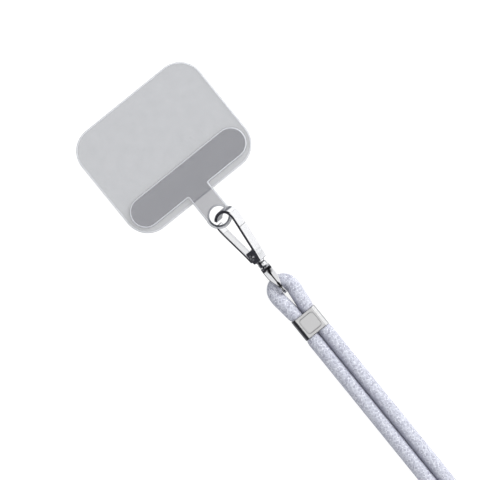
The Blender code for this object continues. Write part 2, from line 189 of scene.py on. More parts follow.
def surface(
    name: str,
    points: np.ndarray,
    finish: bpy.types.Material,
    close_rows: bool = False,
    lengths: np.ndarray | None = None,
    marks: dict[str, np.ndarray] | None = None,
) -> bpy.types.Object:
    """Make an object from a grid whose columns close on themselves.

    Args:
        name: The piece's name.
        points: The grid, as (rows, columns, 3) points.
        finish: The piece's material.
        close_rows: Whether the last row joins the first. Otherwise each end gets one face.
        lengths: The length along the piece at each row, for its UV map.
        marks: Named values from 0 to 1 for each point of the grid, kept as attributes.

    Returns:
        The object, at the origin, with its faces pointing out.
    """
    rows, columns = points.shape[:2]
    verts = points.reshape(-1, 3)
    i = np.arange(rows if close_rows else rows - 1)[:, None]
    j = np.arange(columns)[None, :]
    over, beside = (i + 1) % rows * columns, (j + 1) % columns
    quads = np.stack([i * columns + j, i * columns + beside, over + beside, over + j], -1).reshape(-1, 4)
    ends = np.empty((0, columns), int)
    if not close_rows:
        ends = np.vstack([np.arange(columns)[::-1], np.arange(columns) + (rows - 1) * columns])
    shifted = verts - verts.mean(0)
    outward = np.linalg.det(shifted[np.vstack([quads[:, :3], quads[:, [0, 2, 3]]])]).sum() > 0
    order = slice(None) if outward else slice(None, None, -1)
    mesh = bpy.data.meshes.new(name)
    mesh.from_pydata(verts.tolist(), [], quads[:, order].tolist() + ends[:, order].tolist())
    if lengths is not None:
        corner_u = np.stack([lengths[i], lengths[i], lengths[i + 1], lengths[i + 1]], -1)
        corner_v = np.stack([j, j + 1, j + 1, j], -1) / columns
        uv = np.zeros((quads.size + ends.size, 2))
        grid = np.broadcast_arrays(corner_u.reshape(-1, 1, 4), corner_v.reshape(1, -1, 4))
        uv[:quads.size] = np.stack([part.reshape(-1, 4)[:, order].ravel() for part in grid], -1)
        mesh.uv_layers.new(name="UVMap").data.foreach_set("uv", uv.ravel())
    for mark, values in (marks or {}).items():
        held = np.broadcast_to(values, (rows, columns)).astype(np.float32).ravel()
        mesh.attributes.new(mark, "FLOAT", "POINT").data.foreach_set("value", held)
    mesh.materials.append(finish)
    mesh.shade_smooth()
    made = bpy.data.objects.new(name, mesh)
    bpy.context.scene.collection.objects.link(made)
    return made


def settle(piece: bpy.types.Object, body: Body, slot: Slot, *nodes: str) -> None:
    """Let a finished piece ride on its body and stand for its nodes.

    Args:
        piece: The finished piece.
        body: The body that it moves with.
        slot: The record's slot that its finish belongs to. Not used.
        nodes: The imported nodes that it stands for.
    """
    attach(piece, body.value)
    if nodes:
        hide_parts(*nodes)
    LOG.info("%s on %s, %d faces", piece.name, body.value, len(piece.data.polygons))


@dataclass(frozen=True)
class HookPlane:
    """The hook's own plane: X across it, Y along it from its foot, Z through its depth."""

    foot: np.ndarray
    across: np.ndarray
    along: np.ndarray
    depth: np.ndarray

    @classmethod
    def from_joints(cls, joints: list[dict]) -> HookPlane:
        """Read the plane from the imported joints.

        The swivel's axis is the plane's Y, and the gate's hinge points against its Z.

        Args:
            joints: The frame's joints.

        Returns:
            The plane at rest.
        """
        found = {joint["name"]: joint for joint in joints}
        along = unit(found["hook_swivel"]["axis"])
        depth = -unit(found["gate_hinge"]["axis"])
        return cls(np.array(found["hook_swivel"]["pos_m"]), np.cross(along, depth), along, depth)

    def upright(self) -> HookPlane:
        """The same foot and length, with X level, as the eye stands."""
        level = np.array([1.0, 0.0, 0.0])
        return HookPlane(self.foot, level, self.along, np.cross(level, self.along))

    def place(self, points: np.ndarray) -> np.ndarray:
        """Turn (..., 3) points of this plane into places in the frame."""
        return self.foot + points @ np.array([self.across, self.along, self.depth])

    def height_at(self, y: float) -> float:
        """Height of the long axis where it passes this Y of the frame."""
        return self.foot[2] + (y - self.foot[1]) * self.along[2] / self.along[1]


class Tree:
    """Short calls that add and join the nodes of one node tree."""

    def __init__(self, tree: bpy.types.NodeTree) -> None:
        """Keep the tree that the calls add to."""
        self.tree = tree

    def add(self, kind: str, **inputs: object) -> bpy.types.Node:
        """Add a node and set or join its inputs.

        Args:
            kind: The node's type without its ShaderNode prefix.
            inputs: Values or sockets by input name, with underscores for spaces.

        Returns:
            The node.
        """
        node = self.tree.nodes.new(f"ShaderNode{kind}")
        for name, value in inputs.items():
            self.put(node.inputs[name.replace("_", " ")], value)
        return node

    def put(self, socket: bpy.types.NodeSocket, value: object) -> None:
        """Join a socket to the input, or set its value.

        Args:
            socket: The input.
            value: A socket or a value.
        """
        if isinstance(value, bpy.types.NodeSocket):
            self.tree.links.new(value, socket)
        else:
            socket.default_value = value

    def math(self, operation: str, *values: object) -> bpy.types.NodeSocket:
        """The result of a Math node on up to three values or sockets.

        Args:
            operation: The node's operation.
            values: Numbers or sockets.

        Returns:
            The result's socket.
        """
        node = self.tree.nodes.new("ShaderNodeMath")
        node.operation = operation
        for socket, value in zip(node.inputs, values):
            self.put(socket, value)
        return node.outputs[0]

    def blend(self, share: object, first: object, second: object, kind: str = "RGBA") -> bpy.types.NodeSocket:
        """Mix two colours (RGBA) or two numbers (FLOAT) by a share.

        Args:
            share: How much of the second shows.
            first: The value at 0.
            second: The value at 1.
            kind: The values' type.

        Returns:
            The mix's socket.
        """
        node = self.tree.nodes.new("ShaderNodeMix")
        node.data_type = kind
        sockets = [s for s in node.inputs if s.type == ("RGBA" if kind == "RGBA" else "VALUE")]
        factor = next(s for s in node.inputs if s.name == "Factor" and s.type == "VALUE")
        pair = [s for s in sockets if s.name in ("A", "B") and s.enabled]
        self.put(factor, share)
        self.put(pair[0], first)
        self.put(pair[1], second)
        return next(s for s in node.outputs if s.enabled)

    def pick(self, share: object, first: object, second: object) -> bpy.types.NodeSocket:
        """Mix two shaders by a share.

        Args:
            share: How much of the second shows.
            first: The shader at 0.
            second: The shader at 1.

        Returns:
            The mixed shader's socket.
        """
        node = self.tree.nodes.new("ShaderNodeMixShader")
        for socket, value in zip(node.inputs, (share, first, second)):
            self.put(socket, value)
        return node.outputs[0]

    def ramp(self, value: object, low: float, high: float) -> bpy.types.NodeSocket:
        """A smooth step from 0 at low to 1 at high."""
        node = self.add("MapRange", Value=value, From_Min=low, From_Max=high)
        node.interpolation_type = "SMOOTHSTEP"
        return node.outputs[0]


def effect(name: str, inputs: dict[str, float], outputs: tuple[str, ...]) -> tuple[Tree, dict, dict]:
    """Start a node group with named inputs and outputs.

    Args:
        name: The group's name.
        inputs: Number inputs and their default values. Vector is made a vector input.
        outputs: The names of its number outputs.

    Returns:
        Its tree, its input sockets by name, and its output sockets by name.
    """
    group = bpy.data.node_groups.new(name, "ShaderNodeTree")
    for label, value in inputs.items():
        kind = "NodeSocketVector" if label == "Vector" else "NodeSocketFloat"
        socket = group.interface.new_socket(label, in_out="INPUT", socket_type=kind)
        if label != "Vector":
            socket.default_value = value
    for label in outputs:
        group.interface.new_socket(label, in_out="OUTPUT", socket_type="NodeSocketFloat")
    entry, leave = group.nodes.new("NodeGroupInput"), group.nodes.new("NodeGroupOutput")
    return Tree(group), {s.name: s for s in entry.outputs}, {s.name: s for s in leave.inputs}


class Effects:
    """The node groups that several finishes share, each built once."""

    def __init__(self) -> None:
        """Build every group."""
        self.groups = {
            "edge_wear": self.edge_wear(),
            "fine_grain": self.fine_grain(),
            "dust_specks": self.dust_specks(),
            "braid_weave": self.braid_weave(),
        }

    @staticmethod
    def edge_wear() -> bpy.types.NodeTree:
        """Wear is the edge mark times a noise that breaks it up.

        Returns:
            The group.
        """
        inputs = {"Vector": 0, "Edge": 0, "Scale": 900, "Amount": 0.6}
        tree, given, out = effect("edge_wear", inputs, ("Wear",))
        noise = tree.add("TexNoise", Vector=given["Vector"], Scale=given["Scale"], Detail=3.0)
        worn = tree.math("MULTIPLY", given["Edge"], tree.ramp(noise.outputs["Fac"], 0.38, 0.62))
        tree.put(out["Wear"], tree.math("MULTIPLY", worn, given["Amount"]))
        return tree.tree

    @staticmethod
    def fine_grain() -> bpy.types.NodeTree:
        """Grain is a noise stretched along Y, with a broader cloud that varies the finish.

        Returns:
            The group.
        """
        inputs = {"Vector": 0, "Scale": 6000, "Stretch": 0.04}
        tree, given, out = effect("fine_grain", inputs, ("Height", "Cloud"))
        stretch = tree.add("CombineXYZ", X=1.0, Y=given["Stretch"], Z=1.0)
        node = tree.tree.nodes.new("ShaderNodeVectorMath")
        node.operation = "MULTIPLY"
        tree.put(node.inputs[0], given["Vector"])
        tree.put(node.inputs[1], stretch.outputs[0])
        lines = tree.add("TexNoise", Vector=node.outputs[0], Scale=given["Scale"], Detail=2.0)
        cloud = tree.add("TexNoise", Vector=given["Vector"], Scale=260.0, Detail=3.0)
        tree.put(out["Height"], lines.outputs["Fac"])
        tree.put(out["Cloud"], cloud.outputs["Fac"])
        return tree.tree

    @staticmethod
    def dust_specks() -> bpy.types.NodeTree:
        """Specks are the middles of a few cells of a cell pattern, thinned by a noise.

        Returns:
            The group.
        """
        tree, given, out = effect("dust_specks", {"Vector": 0, "Scale": 700, "Amount": 0.5}, ("Specks",))
        cells = tree.add("TexVoronoi", Vector=given["Vector"], Scale=given["Scale"])
        near = tree.ramp(cells.outputs["Distance"], 0.16, 0.05)
        noise = tree.add("TexNoise", Vector=given["Vector"], Scale=150.0, Detail=2.0)
        some = tree.ramp(noise.outputs["Fac"], 0.52, 0.66)
        tree.put(out["Specks"], tree.math("MULTIPLY", tree.math("MULTIPLY", near, some), given["Amount"]))
        return tree.tree

    @staticmethod
    def braid_weave() -> bpy.types.NodeTree:
        """Two families of yarns wind round the cord in opposite ways, over one and under one.

        With p = around * yarns + along / pitch and q = around * yarns - along / pitch, each cell of
        whole p and q is one crossing. Where the sum of the whole parts is even, the yarn on top is p
        wide and q long, and otherwise the other way. Its height is the root of sin(pi * wide) times
        the fourth root of sin(pi * long), and fine threads run along it.

        Returns:
            The group.
        """
        tree, given, out = effect(
            "braid_weave",
            {"Along": 0, "Around": 0, "Yarns": 24, "Pitch": 0.0005},
            ("Height", "Tone", "Thread", "Gap"),
        )
        turns = tree.math("MULTIPLY", given["Around"], given["Yarns"])
        run = tree.math("DIVIDE", given["Along"], given["Pitch"])
        p, q = tree.math("ADD", turns, run), tree.math("SUBTRACT", turns, run)
        parts = [tree.math("FRACT", x) for x in (p, q)]
        whole = [tree.math("FLOOR", x) for x in (p, q)]
        odd = tree.math("FLOORED_MODULO", tree.math("ADD", *whole), 2.0)
        wide = tree.blend(odd, parts[0], parts[1], "FLOAT")
        long = tree.blend(odd, parts[1], parts[0], "FLOAT")
        crown = [tree.math("SINE", tree.math("MULTIPLY", x, math.pi)) for x in (wide, long)]
        round_top, quick_ends = tree.math("POWER", crown[0], 0.5), tree.math("POWER", crown[1], 0.25)
        tree.put(out["Height"], tree.math("MULTIPLY", round_top, quick_ends))
        tree.put(out["Gap"], tree.ramp(tree.math("ADD", *crown), 1.15, 0.60))
        turn = tree.math("MULTIPLY", wide, 2 * math.pi * 4)
        tree.put(out["Thread"], tree.math("MULTIPLY_ADD", tree.math("COSINE", turn), -0.5, 0.5))
        cell = tree.add("CombineXYZ", X=whole[0], Y=whole[1])
        tone = tree.tree.nodes.new("ShaderNodeTexWhiteNoise")
        tree.put(tone.inputs["Vector"], cell.outputs[0])
        tree.put(out["Tone"], tone.outputs["Value"])
        return tree.tree

    def use(self, tree: Tree, name: str, **inputs: object) -> bpy.types.Node:
        """Place a group in a material's tree.

        Args:
            tree: The material's tree.
            name: The group's name.
            inputs: Values or sockets by input name.

        Returns:
            The group node.
        """
        node = tree.tree.nodes.new("ShaderNodeGroup")
        node.node_tree = self.groups[name]
        for label, value in inputs.items():
            tree.put(node.inputs[label], value)
        return node


def start_material(name: str, **constants: object) -> tuple[bpy.types.Material, Tree, bpy.types.Node]:
    """A material with a Principled shader whose constant sockets are set.

    Args:
        name: The material's name.
        constants: Values by socket name, with underscores for spaces.

    Returns:
        The material, its tree, and the shader.
    """
    made = bpy.data.materials.new(name)
    made.use_nodes = True
    shader = made.node_tree.nodes["Principled BSDF"]
    for label, value in constants.items():
        shader.inputs[label.replace("_", " ")].default_value = value
    return made, Tree(made.node_tree), shader


def attribute(tree: Tree, name: str) -> bpy.types.NodeSocket:
    """The value of a named point attribute."""
    node = tree.tree.nodes.new("ShaderNodeAttribute")
    node.attribute_name = name
    return node.outputs["Fac"]


def object_place(tree: Tree) -> bpy.types.NodeSocket:
    """The Object coordinates."""
    return tree.add("TexCoord").outputs["Object"]


@dataclass(frozen=True)
class PolishedMetal:
    """Bright plating on bent strip, with painted dark reflections on its narrow edge faces and painted shade
    in its grooves and sunk rings.
    """

    bright: Colour = (0.93, 0.935, 0.95, 1)
    painted_dark_edge: Colour = (0.42, 0.42, 0.45, 1)
    painted_shade_black: Colour = (0.012, 0.013, 0.016, 1)
    worn: Colour = (0.93, 0.93, 0.95, 1)

    def material(self, effects: Effects) -> bpy.types.Material:
        """Build the material.

        Args:
            effects: The shared node groups.

        Returns:
            The material.
        """
        made, tree, shader = start_material("polished_metal", Metallic=1.0, Coat_Weight=0.0)
        place = object_place(tree)
        grain = effects.use(tree, "fine_grain", Vector=place, Scale=5200.0, Stretch=0.05)
        edge = attribute(tree, "edge")
        wear = effects.use(tree, "edge_wear", Vector=place, Edge=edge, Scale=1500.0, Amount=0.7)
        dust = effects.use(tree, "dust_specks", Vector=place, Scale=1900.0, Amount=0.35)
        # Painted dark reflection: a darker base colour on the narrow edge faces that the cut mark picks out.
        colour = tree.blend(attribute(tree, "cut"), self.bright, self.painted_dark_edge)
        # Painted shade: near-black base colour in the scored line, the pressed panel, sunk rings, and the
        # eye's groove, band and dark spot.
        colour = tree.blend(attribute(tree, "painted_shade"), colour, self.painted_shade_black)
        colour = tree.blend(wear.outputs["Wear"], colour, self.worn)
        tree.put(shader.inputs["Base Color"], colour)
        rough = tree.blend(attribute(tree, "cut"), 0.07, 0.22, "FLOAT")
        rough = tree.math("MULTIPLY_ADD", grain.outputs["Cloud"], 0.07, rough)
        rough = tree.math("ADD", rough, tree.math("MULTIPLY", dust.outputs["Specks"], 0.4))
        tree.put(shader.inputs["Roughness"], rough)
        bump = tree.add("Bump", Strength=0.008, Distance=0.00004, Height=grain.outputs["Height"])
        tree.put(shader.inputs["Normal"], bump.outputs["Normal"])
        return made


@dataclass(frozen=True)
class SatinMetal:
    """Satin metal brushed along the strap, with polished rims and painted shade in an engraved line."""

    colour: Colour = (0.82, 0.82, 0.82, 1)
    polished: Colour = (0.90, 0.90, 0.91, 1)
    engraved: Colour = (0.30, 0.30, 0.31, 1)

    def material(self, effects: Effects) -> bpy.types.Material:
        """Build the material.

        Args:
            effects: The shared node groups.

        Returns:
            The material.
        """
        made, tree, shader = start_material("satin_metal", Metallic=1.0)
        place = object_place(tree)
        grain = effects.use(tree, "fine_grain", Vector=place, Scale=7000.0, Stretch=0.03)
        edge = attribute(tree, "edge")
        wear = effects.use(tree, "edge_wear", Vector=place, Edge=edge, Scale=1200.0, Amount=0.9)
        dust = effects.use(tree, "dust_specks", Vector=place, Scale=1500.0, Amount=0.4)
        colour = tree.blend(wear.outputs["Wear"], self.colour, self.polished)
        # Painted shade: a dark grey in the engraved line.
        colour = tree.blend(attribute(tree, "painted_shade"), colour, self.engraved)
        tree.put(shader.inputs["Base Color"], colour)
        rough = tree.math("MULTIPLY_ADD", grain.outputs["Height"], 0.12, 0.24)
        rough = tree.blend(attribute(tree, "cut"), rough, 0.10, "FLOAT")
        rough = tree.math("SUBTRACT", rough, tree.math("MULTIPLY", wear.outputs["Wear"], 0.14))
        rough = tree.math("ADD", rough, tree.math("MULTIPLY", dust.outputs["Specks"], 0.25))
        tree.put(shader.inputs["Roughness"], rough)
        bump = tree.add("Bump", Strength=0.22, Distance=0.00003, Height=grain.outputs["Height"])
        tree.put(shader.inputs["Normal"], bump.outputs["Normal"])
        return made


@dataclass(frozen=True)
class ClearFilm:
    """Clear film that shows the surface below it, with a painted band along its edges and the edges
    themselves painted dark.
    """

    name: str
    body: Colour
    band: Colour
    rim: Colour
    body_alpha: float
    rim_alpha: float

    def material(self, effects: Effects) -> bpy.types.Material:
        """Build the material.

        Args:
            effects: The shared node groups.

        Returns:
            The material.
        """
        made, tree, shader = start_material(self.name, Metallic=0.0, IOR=1.47, Specular_IOR_Level=0.5)
        place = object_place(tree)
        grain = effects.use(tree, "fine_grain", Vector=place, Scale=900.0, Stretch=0.6)
        dust = effects.use(tree, "dust_specks", Vector=place, Scale=520.0, Amount=0.5)
        edge = attribute(tree, "edge")
        # Painted light: the band colour is a painted highlight by the pad's and tab's edges and painted shade
        # on the hole's rim, and the rim colour paints the edge itself dark.
        band, rim = tree.ramp(edge, 0.05, 0.45), tree.ramp(edge, 0.75, 0.97)
        colour = tree.blend(band, self.body, self.band)
        tree.put(shader.inputs["Base Color"], tree.blend(rim, colour, self.rim))
        cloudy = tree.math("MULTIPLY_ADD", grain.outputs["Cloud"], 0.05, self.body_alpha - 0.025)
        cloudy = tree.math("ADD", cloudy, tree.math("MULTIPLY", dust.outputs["Specks"], 0.18))
        tree.put(shader.inputs["Alpha"], tree.blend(band, cloudy, self.rim_alpha, "FLOAT"))
        rough = tree.math("MULTIPLY_ADD", grain.outputs["Cloud"], 0.10, 0.06)
        tree.put(shader.inputs["Roughness"], tree.math("ADD", rough, dust.outputs["Specks"]))
        bump = tree.add("Bump", Strength=0.04, Distance=0.00005, Height=grain.outputs["Cloud"])
        tree.put(shader.inputs["Normal"], bump.outputs["Normal"])
        return made


@dataclass(frozen=True)
class BraidedCord:
    """Matte heather braid: pale lilac-grey yarns with white and violet-grey flecks."""

    yarn: Colour = (0.61, 0.625, 0.70, 1)
    pale: Colour = (0.82, 0.83, 0.88, 1)
    dark: Colour = (0.38, 0.38, 0.46, 1)
    painted_crevice_shade: Colour = (0.10, 0.10, 0.165, 1)
    yarns_around: int = 24
    pitch: float = 0.52 * MM

    def material(self, effects: Effects) -> bpy.types.Material:
        """Build the material.

        Args:
            effects: The shared node groups.

        Returns:
            The material.
        """
        made, tree, shader = start_material(
            "braided_cord", Metallic=0.0, Sheen_Weight=0.25, Sheen_Roughness=0.5)
        uv = tree.tree.nodes.new("ShaderNodeUVMap")
        uv.uv_map = "UVMap"
        split = tree.add("SeparateXYZ", Vector=uv.outputs["UV"])
        weave = effects.use(tree, "braid_weave", Along=split.outputs["X"], Around=split.outputs["Y"],
                            Yarns=float(self.yarns_around), Pitch=self.pitch)
        dust = effects.use(tree, "dust_specks", Vector=object_place(tree), Scale=2200.0, Amount=0.12)
        tone, height = weave.outputs["Tone"], weave.outputs["Height"]
        colour = tree.blend(tree.ramp(tone, 0.50, 1.10), self.yarn, self.pale)
        colour = tree.blend(tree.ramp(tone, 0.36, 0.0), colour, self.dark)
        colour = tree.blend(tree.math("MULTIPLY", weave.outputs["Thread"], 0.30), colour, self.pale)
        # Painted shade: darker where the weave is low between yarns.
        colour = tree.blend(tree.math("MULTIPLY", tree.ramp(height, 0.75, 0.30), 0.45), colour, self.painted_crevice_shade)
        # Painted shade in the gaps where the yarns part.
        colour = tree.blend(weave.outputs["Gap"], colour, self.painted_crevice_shade)
        # Painted shade along the line between the two strands.
        colour = tree.blend(tree.math("MULTIPLY", attribute(tree, "painted_seam_shade"), 0.7), colour, self.painted_crevice_shade)
        colour = tree.blend(dust.outputs["Specks"], colour, self.pale)
        tree.put(shader.inputs["Base Color"], colour)
        tree.put(shader.inputs["Roughness"], tree.math("MULTIPLY_ADD", tone, 0.12, 0.78))
        relief = tree.math("MULTIPLY_ADD", weave.outputs["Thread"], 0.12, height)
        bump = tree.add("Bump", Strength=0.45, Distance=0.0001, Height=relief)
        tree.put(shader.inputs["Normal"], bump.outputs["Normal"])
        return made


@dataclass(frozen=True)
class Panel:
    """A soft light: where it hangs, what it faces, its size, its watts, and whether metal mirrors it."""

    name: str
    place: tuple[float, float, float]
    aim: tuple[float, float, float]
    size: tuple[float, float]
    power: float
    mirrored: bool = True

    def hang(self) -> None:
        """Add the light. The camera itself can't see it."""
        data = bpy.data.lights.new(self.name, "AREA")
        data.shape = "RECTANGLE"
        data.size, data.size_y = self.size
        data.energy = self.power
        light = bpy.data.objects.new(self.name, data)
        back = unit(np.subtract(self.place, self.aim))
        beside = unit(np.cross([0.0, 1.0, 0.0] if abs(back[2]) > 0.9 else [0.0, 0.0, 1.0], back))
        axes = np.eye(4)
        axes[:3, :3] = np.column_stack([beside, np.cross(back, beside), back])
        axes[:3, 3] = self.place
        light.matrix_world = Matrix(axes.tolist())
        light.visible_camera = False
        light.visible_glossy = self.mirrored
        bpy.context.scene.collection.objects.link(light)


@dataclass
class Studio:
    """A white table under soft light, seen from straight above as in the photo."""

    middle: tuple[float, float] = (0.3 * MM, -34.7 * MM)
    width: float = 139.2 * MM
    distance: float = 0.8
    image_up: tuple[float, float] = (0.629, 0.777)
    sensor: float = 36.0
    floor_size: float = 12.0
    floor_drop: float = 0.02 * MM
    table: float = 0.24
    table_glow: float = 0.90
    card_span: tuple[float, float] = (-0.03, 0.05)
    lit_card: tuple[Colour, Colour] = ((0.36, 0.36, 0.385, 1), (0.72, 0.72, 0.72, 1))
    mirrored_card: tuple[Colour, Colour] = ((0.07, 0.07, 0.08, 1), (0.90, 0.90, 0.90, 1))
    room: Colour = (0.93, 0.96, 1.0, 1)
    room_strength: float = 0.42
    room_mirrored: Colour = (0.03, 0.03, 0.035, 1)
    panels: tuple[Panel, ...] = (
        Panel("sky_panel", (0.0, 0.0, 1.9), (0.0, 0.0, 0.0), (1.7, 1.7), 7.0),
        Panel("side_panel", (1.3, -0.2, 0.85), (0.0, 0.0, 0.1), (2.6, 1.9), 15.5),
        Panel("fill", (-1.2, 0.0, 0.6), (0.0, -0.06, 0.0), (1.0, 0.8), 5.5, mirrored=False),
        Panel("key", (1.3, 0.1, 0.8), (0.0, -0.06, 0.0), (0.9, 0.9), 18.0, mirrored=False),
    )

    def build(self) -> None:
        """Make the camera, the floor, the lights and the room."""
        self.make_camera()
        self.make_floor()
        for panel in self.panels:
            panel.hang()
        self.make_world()

    def make_camera(self) -> None:
        """Look straight down, with the image's up turned as in the photo."""
        up = unit(np.array([*self.image_up, 0.0]))
        back = np.array([0.0, 0.0, 1.0])
        camera = bpy.data.objects.new("camera", bpy.data.cameras.new("camera"))
        camera.data.sensor_width = self.sensor
        camera.data.lens = self.sensor * self.distance / self.width
        camera.data.clip_start = 0.01
        axes = np.eye(4)
        axes[:3, :3] = np.column_stack([np.cross(up, back), up, back])
        axes[:3, 3] = (*self.middle, self.distance)
        camera.matrix_world = Matrix(axes.tolist())
        bpy.context.scene.collection.objects.link(camera)
        bpy.context.scene.camera = camera
        bpy.context.scene.view_settings.view_transform = "Standard"

    def make_floor(self) -> None:
        """Lay a table that is white to the camera and card of two greys to every other ray.

        The card is darker on the strap's left, as a photographer lays it, and metal mirrors it with
        more contrast than it lights the rest.
        """
        corners = np.array([[-1, -1], [1, -1], [1, 1], [-1, 1]]) * self.floor_size / 2
        mesh = bpy.data.meshes.new("floor")
        mesh.from_pydata([(x, y, -self.floor_drop) for x, y in corners], [], [(0, 1, 2, 3)])
        made, tree, shader = start_material(
            "floor", Base_Color=(self.table,) * 3 + (1,), Roughness=0.9, Specular_IOR_Level=0.0,
            Emission_Color=(self.table_glow,) * 3 + (1,), Emission_Strength=1.0)
        split = tree.add("SeparateXYZ", Vector=object_place(tree))
        towards_key = tree.ramp(split.outputs["X"], *self.card_span)
        rays = tree.add("LightPath")
        lit, mirrored = (tree.blend(towards_key, *pair) for pair in (self.lit_card, self.mirrored_card))
        card = tree.add("BsdfDiffuse", Color=tree.blend(rays.outputs["Is Glossy Ray"], lit, mirrored))
        seen = tree.pick(rays.outputs["Is Camera Ray"], card.outputs[0], shader.outputs[0])
        tree.put(tree.tree.nodes["Material Output"].inputs["Surface"], seen)
        mesh.materials.append(made)
        floor = bpy.data.objects.new("floor", mesh)
        bpy.context.scene.collection.objects.link(floor)

    def make_world(self) -> None:
        """A pale room whose far walls look dark in polished metal."""
        world = bpy.data.worlds.new("room")
        world.use_nodes = True
        bpy.context.scene.world = world
        tree = Tree(world.node_tree)
        pale = world.node_tree.nodes["Background"]
        pale.inputs["Color"].default_value = self.room
        pale.inputs["Strength"].default_value = self.room_strength
        dark = tree.add("Background", Color=self.room_mirrored, Strength=1.0)
        mirrored = tree.add("LightPath").outputs["Is Glossy Ray"]
        tree.put(world.node_tree.nodes["World Output"].inputs["Surface"],
                 tree.pick(mirrored, pale.outputs[0], dark.outputs[0]))


@dataclass
class Cord:
    """One braided cord: a small turn round the eye and a wide loop, both ending in the clamp."""

    plane: HookPlane
    clamp_top: float
    eye_end: float
    radius: float = 2.0 * MM
    crimped_radius: float = 1.7 * MM
    strand_gap: float = 0.2 * MM
    clamp_length: float = 7.0 * MM
    clamp_half_height: float = 2.4 * MM
    eye_strip: float = 0.8 * MM
    eye_end_width: float = 0.9 * MM
    swell_length: float = 1.4 * MM
    bight_play: float = 0.45 * MM
    bight_lead: float = 1.5 * MM
    bight_rise: tuple[float, float, float] = (0.1, 0.5, 0.95)
    columns: int = 96
    shown_length: float = 62 * MM
    fine_step: float = 0.14 * MM
    coarse_step: float = 8 * MM
    relief: float = 0.05 * MM
    relief_fade: float = 2 * MM
    pressed: float = 0.20 * MM
    seam_widths: tuple[float, float] = (0.40 * MM, 1.05 * MM)
    finish: BraidedCord = field(default_factory=BraidedCord)
    loop_route: tuple[tuple[float, float], ...] = (
        (0.0, -0.009), (0.0, -0.025), (0.0, -0.045), (0.0, -0.062), (0.0001, -0.072), (0.0024, -0.090),
        (0.0109, -0.115), (0.0269, -0.145), (0.0499, -0.183), (0.0779, -0.227), (0.1059, -0.274),
        (0.1279, -0.323), (0.1379, -0.372), (0.1319, -0.418), (0.1079, -0.456), (0.0699, -0.482),
        (0.0259, -0.4935),
    )
    loop_end: float = -0.495

    def bight_half(self) -> list[tuple[float, float, float, float]]:
        """Rows of (across, along, height, radius) from the clamp to the top of the small turn.

        Returns:
            Half of the turn's route.
        """
        crimped_x = self.crimped_radius + self.strand_gap / 2
        strand_x = self.radius + self.strand_gap / 2
        turn = self.radius + self.eye_end_width / 2 + GAP
        centre = self.eye_end + self.eye_strip + GAP + self.radius - turn + self.bight_play
        low, high = self.clamp_half_height, self.plane.height_at(centre)
        swell, halfway, lead = (low + share * (high - low) for share in self.bight_rise)
        middle = self.clamp_top - self.clamp_length / 2
        rows = [
            (crimped_x, middle + GAP / 2, low, self.crimped_radius),
            (crimped_x, self.clamp_top - GAP, low, self.crimped_radius),
            (strand_x, self.clamp_top + self.swell_length, swell, self.radius),
            ((strand_x + turn) / 2, (self.clamp_top + centre) / 2, halfway, self.radius),
            (turn, centre - self.bight_lead, lead, self.radius),
        ]
        rows += [(turn * math.cos(a), centre + turn * math.sin(a), high, self.radius)
                 for a in np.radians([0, 22.5, 45, 67.5, 90])]
        return rows

    def loop_half(self) -> list[tuple[float, float, float, float]]:
        """Rows of (across, along, height, radius) from the clamp to the loop's far end.

        Returns:
            Half of the loop's route.
        """
        strand_x = self.radius + self.strand_gap / 2
        middle, bottom = self.clamp_top - self.clamp_length / 2, self.clamp_top - self.clamp_length
        low = self.clamp_half_height
        rows = [
            (self.crimped_radius + self.strand_gap / 2, middle - GAP / 2, low, self.crimped_radius),
            (self.crimped_radius + self.strand_gap / 2, bottom + GAP, low, self.crimped_radius),
            (strand_x, bottom - self.swell_length, low, self.radius),
        ]
        rows += [(strand_x + x, middle + y, self.radius, self.radius) for x, y in self.loop_route]
        return [*rows, (0.0, middle + self.loop_end, self.radius, self.radius)]

    def tube(self, name: str, half: list, shown: float, node: str, finish: bpy.types.Material) -> None:
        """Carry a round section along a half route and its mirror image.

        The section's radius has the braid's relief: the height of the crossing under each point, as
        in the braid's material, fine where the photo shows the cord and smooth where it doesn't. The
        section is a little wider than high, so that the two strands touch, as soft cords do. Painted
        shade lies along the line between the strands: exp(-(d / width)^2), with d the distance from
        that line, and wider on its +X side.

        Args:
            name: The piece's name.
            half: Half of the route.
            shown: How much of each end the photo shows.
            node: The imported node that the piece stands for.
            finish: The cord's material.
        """
        route = smooth_route([*half, *[(-x, y, z, r) for x, y, z, r in reversed(half[:-1])]], 24)
        total = lengths_along(route[:, :3])[-1]
        fine = np.arange(0, min(shown, total / 2), self.fine_step)
        coarse = np.arange(fine[-1], total / 2, self.coarse_step)[1:]
        places = np.concatenate([fine, coarse])
        places = np.concatenate([places, total - places[::-1]])
        rows = points_at(route, places)
        middle = rows[:, :3] + [STRAP_AXIS_X, 0, 0]
        along = unit(np.gradient(middle, places, axis=0))
        side = unit(np.cross(along, [0, 0, 1]))
        over = np.cross(side, along)
        around = np.arange(self.columns) / self.columns
        yarns = self.finish.yarns_around
        p = around * yarns + places[:, None] / self.finish.pitch
        q = around * yarns - places[:, None] / self.finish.pitch
        odd = (np.floor(p) + np.floor(q)) % 2 > 0.5
        wide, long = np.where(odd, q, p), np.where(odd, p, q)
        crossing = np.abs(np.sin(math.pi * wide)) ** 0.5 * np.abs(np.sin(math.pi * long)) ** 0.25
        edge = np.minimum(places, total - places)
        share = np.clip((shown - edge) / self.relief_fade, 0, 1)[:, None]
        radius = (rows[:, 3:] + self.relief * share * (crossing - 1))[..., None]
        turns = 2 * math.pi * around
        points = middle[:, None] + (
            (radius + self.pressed) * np.cos(turns)[:, None] * side[:, None]
            + radius * np.sin(turns)[:, None] * over[:, None])
